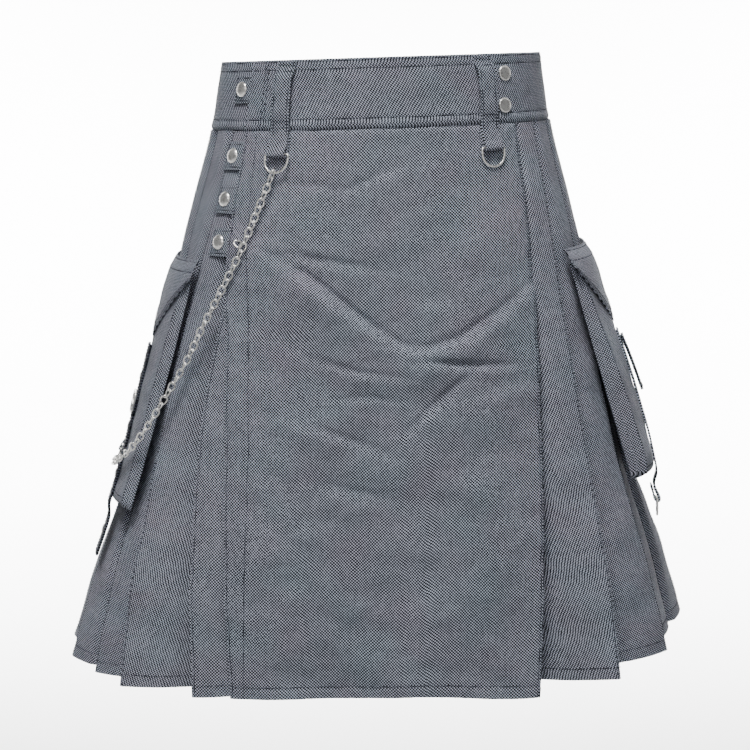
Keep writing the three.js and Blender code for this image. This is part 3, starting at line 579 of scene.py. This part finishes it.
def pleatPanel(name, folds, first, last, centre, stands):
    # A length of knife pleats. Columns follow the cloth: out along each face, then back behind its edge.
    drops = np.linspace(seamDrop, hemDrop, 91)
    opening = flare(drops)
    towards = 1 if folds[0][0][0] > 0 else -1
    mix = lambda a, b: a + (b - a) * opening
    line, marks = [], []

    def put(turn, out, steps=1):
        line.append((turn, out - clothThick / 2, steps))

    for k, (edges, out0, out1, tuck) in enumerate(folds):
        turn = foldAt(edges, drops)
        mm = perDegree(turn, drops)
        out, inner = mix(out0, out1), mix(out0 - 2 * ply, tuck)
        before = np.abs(turn - foldAt(folds[k - 1][0], drops)) * mm if k else 1e9
        deep = np.minimum(mix(21, 33), before - 7) / mm
        if k:
            earlier = folds[k - 1]
            start = mix(earlier[1] - 2 * ply, earlier[3])
            put(foldAt(earlier[0], drops) + towards * mix(1.5, 4) / mm, start + (out - start) * 0.16 * opening, 3)
            put(turn - towards * (deep + 1.5 / mm), start + (out - start) * (1 - 0.3 * opening), 6)
            put(turn - towards * 2.6 / mm, out + 0.25, 5)
            put(turn, out)
        marks.append(len(line) - 1)
        back = ply if k else 0.5 + clothThick
        put(turn - (0 if k else towards * 1.2 / mm), out - back)
        put(turn - towards * deep * 0.5, (out - back) + (inner + ply - out + back) * mix(0.5, 0.4), 3)
        put(turn - towards * deep, inner + ply, 3)
        put(turn - towards * deep, inner)
    put(np.full(len(drops), centre[0]), mix(centre[1], folds[-1][3] + centre[2]), 2)
    seamAt = lambda k: 4 + 8 * k - 1
    start = seamAt(first) if first else 0
    stop = seamAt(last) if last else len(line)
    turns, outs, edges = [line[start][0]], [line[start][1]], {}
    for n in range(start + 1, stop):
        for t in np.linspace(0, 1, line[n][2] + 1)[1:]:
            turns.append(line[n - 1][0] * (1 - t) + line[n][0] * t)
            outs.append(line[n - 1][1] * (1 - t) + line[n][1] * t)
        if n in marks:
            edges[marks.index(n)] = len(turns) - 1
    turns, outs = np.stack(turns, 1), np.stack(outs, 1)
    across = turns * perDegree(turns, drops[:, None])
    uneven = waves(across, drops[:, None], 31 + first + (towards > 0), 60, 0.5)
    outs = outs + uneven * step(drops, 80, 200)[:, None]
    hem = 0.35 * np.exp(-((hemDrop - hemDeep - drops) / 1.6) ** 2)[:, None]
    grid = around(turns, drops[:, None], outs - hem)
    middle = outward(grid) * towards
    count = grid.shape[1] - 1
    panel = Panel(name, lambda u, v: grid + middle * clothThick / 2, count, grid.shape[0] - 1, pleatTwill,
                  clothThick, stands, "pleat_twill", turned=towards)
    for column in edges.values():
        panel.sew((column - 1 + 0.1) / count, down)
    for a, b in zip([0, *edges.values()], edges.values()):
        if b - a > 8:
            panel.sew(np.linspace(b - 12, b, 60) / count, hemLine)
    return panel


rightSide = pleatPanel("right_side_pleats_cloth", rightFolds, 0, 5, centreBack["right"], ["right_side_pleats"])
rightBack = pleatPanel("right_back_pleats_cloth", rightFolds, 5, 0, centreBack["right"], ["right_back_pleats"])
leftSide = pleatPanel("left_side_pleats_cloth", leftFolds, 0, 5, centreBack["left"], ["left_side_pleats"])
leftBack = pleatPanel("left_back_pleats_cloth", leftFolds, 5, 0, centreBack["left"], ["left_back_pleats"])

# snap tabs and snaps
print("snaps")
tabs = {"long": 30, "under": 4, "high": 27, "rows": {
    "band": (27, (-57.2,) * 4, -2.3), "upper": (90.5, aprons["left"], -1.6),
    "middle": (132, aprons["left"], -1.6), "lower": (173, aprons["left"], -1.6)}}
domed = [(0, 0), (7.4, 0), (7.5, 0.35), (7.35, 0.8), (6.9, 1.3), (6.2, 1.9), (5.0, 2.5), (3.5, 2.95), (1.8, 3.25),
         (0, 3.35)]
flatSnap = [(0, 0), (7.3, 0), (7.5, 0.5), (7.2, 1.5), (6.7, 1.8), (6.1, 1.5), (5.6, 1.2), (3.0, 1.5), (0, 1.6)]
tabPanels = []
for name, (drop, edge, out) in tabs["rows"].items():
    start = foldAt(edge, drop)
    mm = perDegree(start, drop)

    def tabPlace(u, v):
        rim = np.minimum(np.minimum(u, 1 - u) * tabs["long"], np.minimum(v, 1 - v) * tabs["high"])
        lift = out - 0.3 * np.exp(-rim / 0.7) - 0.25 * np.exp(-((rim - 2.8) / 0.9) ** 2)
        return around(start + (tabs["under"] - tabs["long"] * (1 - u)) / mm, drop + tabs["high"] * (v - 0.5), lift)

    tabPanel = Panel(f"snap_tab_{name}_cloth", tabPlace, 26, 24, greyTwill, clothThick, [f"snap_tab_{name}"],
                     "grey_twill")
    a, b = 2.8 / tabs["long"], 2.8 / tabs["high"]
    for u, v in (((a, 0.86), (b, b)), ((a, a), (b, 1 - b)), ((a, 0.86), (1 - b, 1 - b))):
        tabPanel.sew(np.linspace(*u, 24), np.linspace(*v, 24))
    tabPanels.append(tabPanel)
    snapTurn = start + (tabs["under"] - tabs["long"] * 0.62) / mm
    points, faces = lathe(domed)
    solid(f"snap_{name}_dome", [(placed(points, seat(snapTurn, drop, out + 0.3)), faces)], nickel,
          stands=[f"snap_{name}"], slot="nickel")
for name, turn, drop in (("right_upper", 53.9, 19), ("right_lower", 52.5, 49.5)):
    points, faces = lathe(flatSnap)
    solid(f"snap_{name}_cap", [(placed(points, seat(turn, drop, 0.3)), faces)], nickel,
          stands=[f"snap_{name}"], slot="nickel")

# belt loops and rings
print("loops")
ring = {"drop": 88.5, "out": 4.0, "wire": 1.1, "half": 12.2, "leg": 6.2}
loops = {"wide": 19}
ringTurns = {"left": -40.8, "right": 44}


def onApron(turn, drop, out):
    turn, drop = np.broadcast_arrays(np.asarray(turn, float), np.asarray(drop, float))
    return around(turn, drop, np.maximum(ripple(turn, drop) * step(drop, 80, 125), -2.6) + out)


def sleeve(out, drop, size=2.75):
    angles = np.radians([20, -20, -60, -100, -140, -180])
    return [(out + size * math.cos(a), drop - size * math.sin(a)) for a in angles]


def edgeRows(panel, width, inset=2.2, lo=0.01, hi=0.99):
    for u in (inset / width, 1 - inset / width):
        panel.sew(u, np.linspace(lo, hi, 120))


frontPath = [(1.05, 1.4), (1.1, 7), (3.4, 11.6), (5.7, 16), (5.95, 22), (5.95, 46), (5.2, 54), (3.9, 60), (3.4, 70),
             (4.3, 80), *sleeve(ring["out"], ring["drop"]), (1.4, 82), (1.4, 72)]
backPath = [(1.05, 1.4), (1.1, 7), (4.0, 11.8), (6.7, 16), (6.95, 22), (6.95, 46), (5.6, 52), (2.4, 57), (1.1, 60),
            (1.05, 65)]
loopPanels = []
for name, turn, path, base in (("front_left", ringTurns["left"], frontPath, onApron),
                               ("front_right", ringTurns["right"], frontPath, onApron),
                               ("back_right", 118, backPath, around), ("back", 180, backPath, around),
                               ("back_left", -118, backPath, around)):
    loop = strap(f"belt_loop_{name}_cloth", path, loops["wide"], turn, greyTwill, 1.5, base,
                 [f"belt_loop_{name}"], "grey_twill")
    front = 0.62 if base is onApron else 0.97
    edgeRows(loop, loops["wide"], 2.3, 0.01, front)
    for v in ((0.03, 0.09, 0.5, 0.56) if base is onApron else (0.03, 0.1, 0.9, 0.97)):
        loop.sew(np.linspace(0.14, 0.86, 12), v)
    loopPanels.append(loop)


def dRing(name, turn, drop, out, base, lift):
    bar, corner = ring["half"], 2.3
    quarter = np.linspace(0, math.pi / 2, 6)
    outline = [(-bar + corner * (1 - math.cos(a)), -corner * (1 - math.sin(a))) for a in quarter]
    outline += [(bar - corner * (1 - math.sin(a)), -corner * (1 - math.cos(a))) for a in quarter]
    outline += [(bar * math.cos(a), -ring["leg"] - bar * math.sin(a)) for a in np.linspace(0, math.pi, 36)]
    points, faces = tube([(x, y, 0) for x, y in outline], ring["wire"], 12)
    place = seat(turn, drop, out, base, bar + ring["leg"]) @ Matrix.Rotation(-math.radians(lift), 4, "X")
    solid(f"{name}_wire", [(placed(points, place), faces)], nickel, stands=[name], slot="nickel", rides=name)
    return place


rings = {"front_left": dRing("ring_front_left", ringTurns["left"], ring["drop"], ring["out"], onApron, 6),
         "front_right": dRing("ring_front_right", ringTurns["right"], ring["drop"], ring["out"], onApron, -6)}

# pockets
print("pockets")
pockets = {
    "left": {"turn": -82, "half": 58, "halfBelow": 56, "top": 206, "bottom": 440,
             "drops": (190, 206, 250, 276, 330, 440), "front": (6, 6.2, 9, 10.2, 11.2, 11.8),
             "flap": (3.4, 8.6, 11.4, 12.2, 12.6, 12.6), "tip": 275},
    "right": {"turn": 83, "half": 60, "halfBelow": 50, "top": 206, "bottom": 426,
              "drops": (190, 206, 250, 276, 330, 400, 426), "front": (7, 7.6, 12, 15.4, 20.6, 23, 20),
              "flap": (3.4, 10, 14.4, 17.4, 22, 22, 22), "tip": 275}}
gussetAcross = (-1, -0.97, -0.93, -0.9, -0.86, -0.5, 0, 0.5, 0.86, 0.9, 0.93, 0.97, 1)
gussetRise = (0.1, 0.46, 0.42, 0.52, 0.94, 0.985, 1, 0.985, 0.94, 0.52, 0.42, 0.46, 0.1)
flapTop, flapCorner = 191, 204
pocketPanels = {}


def flapBottom(share, tip):
    point = (1 - np.sqrt(share ** 2 + 0.012) + 0.06) ** 0.9
    return np.minimum(flapCorner + (tip - flapCorner) * np.clip(point, 0, 1), tip - 2)


for side, spec in pockets.items():
    def pouchPlace(u, v):
        # Across the front for the first part of u, then back behind it.
        across = np.where(u < 0.72, u / 0.36 - 1, 1 - (u - 0.72) / 0.14)
        below = step(v, 0.955, 1)
        drop = spec["top"] + (spec["bottom"] - spec["top"]) * np.minimum(v / 0.985, 1)
        backOut = 2.4 + 1.4 * (drop - 206) / 230
        full = smooth(spec["drops"], spec["front"], drop) - backOut
        rise = np.interp(across, gussetAcross, gussetRise) * (1 - 0.75 * below)
        x = across * (spec["half"] + (spec["halfBelow"] - spec["half"]) * (drop - spec["top"])
                      / (spec["bottom"] - spec["top"])) * (1 - 0.02 * below)
        bulge = waves(x, drop, 41 + (side == "left"), 50, 0.6) * step(1 - np.abs(across), 0.08, 0.4)
        out = np.where(u < 0.72, backOut + full * rise + bulge * step(v, 0.03, 0.2), backOut)
        return around(spec["turn"] + x / perDegree(spec["turn"], drop), drop, out)
    pouch = Panel(f"pocket_{side}_cloth", pouchPlace, 150, 90, pleatTwill, clothThick, [f"pocket_{side}"],
                  "pleat_twill", closed=True)
    for share in (-0.845, 0.845):
        pouch.sew((share + 1) * 0.36, np.linspace(0.01, 0.95, 140))
    for v in (0.935, 0.965):
        pouch.sew(np.linspace(0.06, 0.66, 90), v)

    def flapPlace(u, v):
        share = 2 * u - 1
        drop = flapTop + (flapBottom(share, spec["tip"]) - flapTop) * v
        half = (spec["half"] + 5) / perDegree(spec["turn"], drop)
        lift = smooth(spec["drops"], spec["flap"], drop)
        lift = lift - step(drop, 195, 240) * 0.06 * (lift - 2) * share ** 2
        lift = lift + waves(share * 60, drop, 51 + (side == "left"), 40, 0.5) * step(v, 0.1, 0.5)
        lift = lift - 0.5 * np.exp(-((drop - 193.5) / 1.2) ** 2) - 0.5 * np.exp(-((drop - 203) / 1.2) ** 2)
        return around(spec["turn"] + share * half, drop, lift)
    flap = Panel(f"pocket_flap_{side}_cloth", flapPlace, 96, 50, pleatTwill, clothThick, [f"pocket_flap_{side}"],
                 "pleat_twill")
    for inset in (0.955, 0.86):
        flap.sew(np.linspace(0.02, 0.98, 160), inset)
    for drop in (193.5, 203):
        u = np.linspace(0.02, 0.98, 110)
        flap.sew(u, np.minimum((drop - flapTop) / (flapBottom(2 * u - 1, spec["tip"]) - flapTop), 1))
    pocketPanels[side] = (pouch, flap)

# straps, buckle, eyelets
print("straps")


def pocketFront(side, drop):
    return smooth(pockets[side]["drops"], pockets[side]["front"], drop)


straps = {"wide": 24, "narrow": 19, "thick": 2.2, "inset": 2.4, "ringDrop": 457, "ringOut": 14.02}
leftTurn, rightTurn = pockets["left"]["turn"], pockets["right"]["turn"]
rise = straps["thick"] / 2 + 0.5
leftPath = [(float(pocketFront("left", d)) + rise, d) for d in (280, 300, 335, 385, 428)] \
    + [(13.5, 442), (9.5, 456), (8.5, 496)]
strapLeft = strap("strap_left_cloth", leftPath, straps["wide"], leftTurn, darkTwill, straps["thick"], around,
                  ["strap_left"], "strap_twill")
edgeRows(strapLeft, straps["wide"], straps["inset"])
rightPath = [(float(pocketFront("right", d)) + rise, d) for d in (280, 300, 335, 385, 412)] \
    + [(21.7, 429), (15.6, 441), (15.2, 449), *sleeve(straps["ringOut"], straps["ringDrop"]), (11.9, 450),
       (11.7, 444)]
strapRight = strap("strap_right_cloth", rightPath, straps["narrow"], rightTurn, greyTwill, 1.6, around,
                   ["strap_right"], "grey_twill")
edgeRows(strapRight, straps["narrow"], straps["inset"], 0.01, 0.86)
root = float(pocketFront("right", 286)) + 2.2 + 1.1 + 1.1
tailPath = [(root, 286), (root + 4.4, 312), (root + 8, 342)]
tail = strap("strap_tail_right_cloth", tailPath, straps["narrow"], rightTurn, darkTwill, straps["thick"], around,
             ["strap_tail_right"], "strap_twill")
edgeRows(tail, straps["narrow"], straps["inset"])
tail.sew(np.linspace(0.14, 0.86, 12), 0.95)
dRing("ring_strap_right", rightTurn, straps["ringDrop"], straps["ringOut"], around, -18.5)


def strapFace(drop):
    inner = pocketFront("left", drop) + 0.5 if drop < 430 else 8.2 - 0.3 * (drop - 456) / 40
    return float(inner) + straps["thick"]


for n, drop in enumerate((313, 364, 412, 470), 1):
    points, faces = lathe([(2.4, 0), (4.4, 0), (4.6, 0.3), (4.3, 0.7), (3.6, 0.95), (2.8, 0.8), (2.4, 0.4), (2.4, 0)])
    solid(f"eyelet_{n}_rim", [(placed(points, seat(leftTurn, drop, strapFace(drop) + 0.3)), faces)], nickel,
          stands=[f"eyelet_{n}"], slot="nickel")
buckle = {"drop": 339, "wide": 30, "high": 21, "wire": 1.1, "corner": 4}
outline, corner = [], buckle["corner"]
for i, (sx, sy) in enumerate(((1, 1), (-1, 1), (-1, -1), (1, -1))):
    for a in np.linspace(0, math.pi / 2, 7):
        outline.append((sx * (buckle["wide"] / 2 - corner) + corner * math.cos(i * math.pi / 2 + a),
                        sy * (buckle["high"] / 2 - corner) + corner * math.sin(i * math.pi / 2 + a), 0))
place = seat(leftTurn, buckle["drop"], strapFace(buckle["drop"]) + 0.3 + buckle["wire"])
barLine = [(x, 0, 0.35) for x in np.linspace(-16.5, 16.5, 12)]
prongLine = [(0.001 * y, y, 0.35 + 0.9 * math.sin(math.pi * -y / 11)) for y in np.linspace(0.5, -11.2, 12)]
solid("buckle_left_frame", [(placed(p, place), f) for p, f in (tube(outline, buckle["wire"], 12),
      tube(barLine, 0.9, 10, False), tube(prongLine, 0.85, 10, False))], nickel, stands=["buckle_left"], slot="nickel")

# chain
print("chain")
anchorTurn, anchorDrop = -89, 392
anchorOut = float(pocketFront("left", anchorDrop)) + 3.8
chainTab = strap("chain_tab_cloth", [(anchorOut - 2.2, 372.5), (anchorOut - 1.9, 384), (anchorOut + 1.4, 388),
                 *sleeve(anchorOut, 392.4), (anchorOut - 3.2, 386), (anchorOut - 3.4, 374)], loops["wide"],
                 anchorTurn, greyTwill, 1.0, around, ["chain_tab"], "grey_twill")
rings["chain_end"] = dRing("ring_chain_end", anchorTurn, anchorDrop, anchorOut, around, 6)
chainUpper = [(-44.7, 143, 5), (-47.7, 176, 5)]
chainLower = [(-50.5, 200, 5), (-53.7, 226, 5), (-56.8, 251, 5), (-60.4, 289, 6), (-63.4, 321, 10.5), (-66, 351, 15.5),
              (-70.5, 377, 18), (-77, 394, 19.4), (-83, 402, 19.8)]
link = {"half": 4.7, "side": 3.4, "wire": 0.85, "pitch": 7.9, "hold": 1.1}


def toPlace(row):
    return Vector(around(*row))


def held(place, x, y, towards):
    wire = place @ Vector((x, y, 0))
    return wire + (towards - wire).normalized() * link["hold"]


def linkFrame(centre, along, twist):
    centre, x = Vector(centre), Vector(along).normalized()
    turn = math.degrees(math.atan2(centre.x, -centre.y))
    z = seat(turn, float(around(turn, 0)[2]) - centre.z, 0).to_3x3().col[2]
    level = Matrix.Rotation(math.radians(twist), 3, x) @ z.cross(x).normalized()
    axes = Matrix((x, level, x.cross(level))).transposed().to_4x4()
    axes.translation = centre
    return axes


def linksAlong(points, withFirst, firstTwist, lastTwist):
    points = np.array([list(p) for p in points])
    far = np.concatenate([[0], np.cumsum(np.linalg.norm(np.diff(points, axis=0), axis=1))])
    dense = np.linspace(0, far[-1], 400)
    curve = np.stack([smooth(far, points[:, k], dense) for k in range(3)], -1)
    run = np.concatenate([[0], np.cumsum(np.linalg.norm(np.diff(curve, axis=0), axis=1))])
    count = round(run[-1] / link["pitch"])
    frames = []
    for i in range(0 if withFirst else 1, count + 1):
        at = [np.interp(run[-1] * i / count, run, curve[:, k]) for k in range(3)]
        nxt = [np.interp(min(run[-1] * i / count + 1, run[-1]), run, curve[:, k]) for k in range(3)]
        prev = [np.interp(max(run[-1] * i / count - 1, 0), run, curve[:, k]) for k in range(3)]
        twist = (24 if i % 2 else -24) + 12 * math.sin(i * 0.8)
        if i == 0 and firstTwist is not None:
            twist = firstTwist
        elif i == count and lastTwist:
            twist = lastTwist
        frames.append(linkFrame(at, np.subtract(nxt, prev), twist))
    return frames


bend = toPlace(chainUpper[1])
start = held(rings["front_left"], -2, -ring["leg"] - ring["half"] + 0.2, toPlace(chainUpper[0]))
far = math.radians(-20)
end = held(rings["chain_end"], ring["half"] * math.cos(far), -ring["leg"] + ring["half"] * math.sin(far),
           toPlace(chainLower[-1]))
spareWay = (toPlace((-50.6, 171, 5)) - bend).normalized() * 6.6
chainFrames = linksAlong([start, toPlace(chainUpper[0]), bend], True, 90, None) \
    + linksAlong([bend, *map(toPlace, chainLower), end], False, None, 90) \
    + [linkFrame(bend + spareWay, spareWay, 30)]


def linkTree():  # an oval of round wire, twisted out of its plane as a curb link is
    g = Steps("links", "Half length", "Half width", "Wire")
    half, side, wire = g.sizes
    circle = g.node("GeometryNodeCurvePrimitiveCircle", ins={"Resolution": 22, "Radius": 1.0})
    x = g.node("ShaderNodeSeparateXYZ", ins=[g.node("GeometryNodeInputPosition")])
    y = x.other(1)
    oval = g.node("ShaderNodeCombineXYZ", ins=[half * x, side * y * (1 + 0.05 * (x * x - y * y)), 0.0011 * x * y])
    bent = g.node("GeometryNodeSetPosition", ins={"Geometry": circle, "Position": oval})
    profile = g.node("GeometryNodeCurvePrimitiveCircle", ins={"Resolution": 8, "Radius": wire})
    shape = g.node("GeometryNodeCurveToMesh", ins={"Curve": bent, "Profile Curve": profile})
    turned = g.node("GeometryNodeInputNamedAttribute", data_type="FLOAT_VECTOR", ins={"Name": "turned"})
    g.setOut(g.given, shape, g.node("FunctionNodeEulerToRotation", ins=[turned]), nickel)
    return g


chain = linkTree().grow("chain_links", [list(f.translation * 0.001) for f in chainFrames], [],
                        [link["half"] * 0.001, link["side"] * 0.001, link["wire"] * 0.001],
                        [tuple(f.to_euler()) for f in chainFrames])
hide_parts("chain")

# stitching
print("stitching")
sewing = {"pace": 0.0033, "stitch": (1.4, 0.6, 0.45)}


def stitchTree():
    g = Steps("stitches", "Pace")
    curve = g.node("GeometryNodeMeshToCurve", ins=[g.given])
    points = g.node("GeometryNodeCurveToPoints", mode="LENGTH", ins={"Curve": curve, "Length": g.sizes[0]})
    turned = g.node("FunctionNodeAlignRotationToVector", axis="X", ins={"Vector": points.other("Tangent")})
    ball = g.node("GeometryNodeMeshIcoSphere", ins={"Radius": 0.001, "Subdivisions": 1})
    shape = g.node("GeometryNodeTransform", ins={"Geometry": ball, "Scale": sewing["stitch"]})
    g.setOut(points, shape, turned, thread)
    return g


stitches = stitchTree()


def stitch(name, lines):
    points, edges, base = [], [], 0
    for line in lines:
        points += (line * 0.001).tolist()
        edges += [(base + i, base + i + 1) for i in range(len(line) - 1)]
        base += len(line)
    piece = stitches.grow(name, points, edges, [sewing["pace"]])
    return piece


allPanels = [waistband, apron, underApron, rightSide, rightBack, leftSide, leftBack, *tabPanels, *loopPanels,
             *pocketPanels["left"], *pocketPanels["right"], strapLeft, strapRight, tail, chainTab]
cuts = {  # flat width and length as drawn, in m, area if not a rectangle, how it is held, what it rests on
    "waistband": (1.2, 0.067, None, "folded", []),
    "front_apron": (0.319, 0.56, 0.171, "hung", ["waistband"]),
    "under_apron": (0.276, 0.557, 0.141, "hung", ["waistband"]),
    "right_side_pleats": (0.977, 0.56, 0.363, "folded", ["waistband"]),
    "right_back_pleats": (0.681, 0.555, 0.301, "folded", ["waistband"]),
    "left_side_pleats": (0.973, 0.57, 0.362, "folded", ["waistband"]),
    "left_back_pleats": (0.701, 0.563, 0.306, "folded", ["waistband"]),
    "snap_tab_band": (0.03, 0.028, None, "laid", ["waistband"]),
    "snap_tab_upper": (0.03, 0.028, None, "laid", ["front_apron"]),
    "snap_tab_middle": (0.03, 0.028, None, "laid", ["front_apron"]),
    "snap_tab_lower": (0.03, 0.028, None, "laid", ["front_apron"]),
    "belt_loop_front_left": (0.0193, 0.119, None, "folded", ["waistband", "front_apron"]),
    "belt_loop_front_right": (0.0193, 0.119, None, "folded", ["waistband", "front_apron"]),
    "belt_loop_back_right": (0.0193, 0.067, None, "laid", ["waistband"]),
    "belt_loop_back": (0.0193, 0.067, None, "laid", ["waistband"]),
    "belt_loop_back_left": (0.0193, 0.067, None, "laid", ["waistband"]),
    "pocket_left": (0.243, 0.248, 0.059, "laid", ["left_side_pleats"]),
    "pocket_flap_left": (0.194, 0.086, 0.0076, "laid", ["pocket_left"]),
    "pocket_right": (0.252, 0.237, 0.0567, "laid", ["right_side_pleats"]),
    "pocket_flap_right": (0.197, 0.087, 0.0079, "laid", ["pocket_right"]),
    "strap_left": (0.0241, 0.2265, None, "laid", ["pocket_left"]),
    "strap_right": (0.0193, 0.209, None, "folded", ["pocket_right"]),
    "strap_tail_right": (0.0192, 0.0597, None, "laid", ["strap_right"]),
    "chain_tab": (0.0193, 0.0533, None, "folded", ["pocket_left"])}
for panel in allPanels:
    node = panel.name.replace("_cloth", "")
    rows = [stitch(f"{node}_stitches", panel.seams)] if panel.seams else []
    width, length, area, held, restsOn = cuts[node]

# studio
print("studio")


def studio(look):
    floor = bpy.data.meshes.new("floor")
    bend = 1.4  # how gently the paper turns up behind
    rows = [(-3.0, look["floor"])]
    rows += [(2.2 + bend * math.sin(a), look["floor"] + bend * (1 - math.cos(a)))
             for a in np.linspace(0, math.pi / 2, 16)]
    rows += [(3.6, look["floor"] + 6)]
    points = [(x, y, z) for y, z in rows for x in (-6, 6)]
    floor.from_pydata(points, [], [(2 * i, 2 * i + 1, 2 * i + 3, 2 * i + 2) for i in range(len(rows) - 1)])
    floor.polygons.foreach_set("use_smooth", [True] * len(floor.polygons))
    s = Shader("floor_paper")
    where = s.node("ShaderNodeTexCoord", out="Object")
    tone = s.noise(where, 3.0, 1.0).between(0.2, 0.8)
    s.link(s.mix(tone, (0.86, 0.86, 0.86, 1), (0.88, 0.88, 0.88, 1)), "Base Color")
    s.set(Roughness=0.9)
    floor.materials.append(s.material)
    ground = bpy.data.objects.new("floor", floor)
    bpy.context.collection.objects.link(ground)
    ground.visible_diffuse = False
    for name, at, size, power, aim, spread in look["lights"]:
        light = bpy.data.lights.new(name, "AREA")
        light.shape, light.size, light.energy, light.spread = "DISK", size, power, math.radians(spread)
        lamp = bpy.data.objects.new(name, light)
        lamp.location = at
        lamp.rotation_euler = (Vector(aim) - Vector(at)).to_track_quat("-Z", "Y").to_euler()
        bpy.context.collection.objects.link(lamp)
    world = bpy.data.worlds.new("studio")
    world.use_nodes = True
    world.node_tree.nodes["Background"].inputs[0].default_value = (0.95, 0.97, 1, 1)
    world.node_tree.nodes["Background"].inputs[1].default_value = look["world"]
    bpy.context.scene.world = world
    lens = bpy.data.cameras.new("camera")
    lens.lens, lens.sensor_width = look["lens"], 36
    camera = bpy.data.objects.new("camera", lens)
    camera.location, camera.rotation_euler = look["eye"], (math.radians(80), 0, 0)
    bpy.context.collection.objects.link(camera)
    bpy.context.scene.camera = camera


studio({"floor": -1.08, "world": 0.13, "lens": 86.6, "eye": (-0.0056, -1.85, 0.035), "lights": [
    ("key", (-0.6, -2.1, 4.8), 2.0, 300, (0, 0, -0.3), 180),
    ("spark", (-0.5, -2.3, 1.1), 0.3, 7, (0, 0, -0.3), 180),
    ("fill", (0.8, -2.7, 0.5), 2.4, 13, (0, 0, -0.3), 180),
    ("back", (0.7, 1.7, 2.0), 1.0, 26, (0, 0, -0.3), 180),
    ("sweep_left", (-2.4, 1.5, 1.4), 1.4, 520, (-0.2, 3.6, -0.6), 110),
    ("sweep_right", (2.4, 1.5, 1.4), 1.4, 520, (0.2, 3.6, -0.6), 110)]})
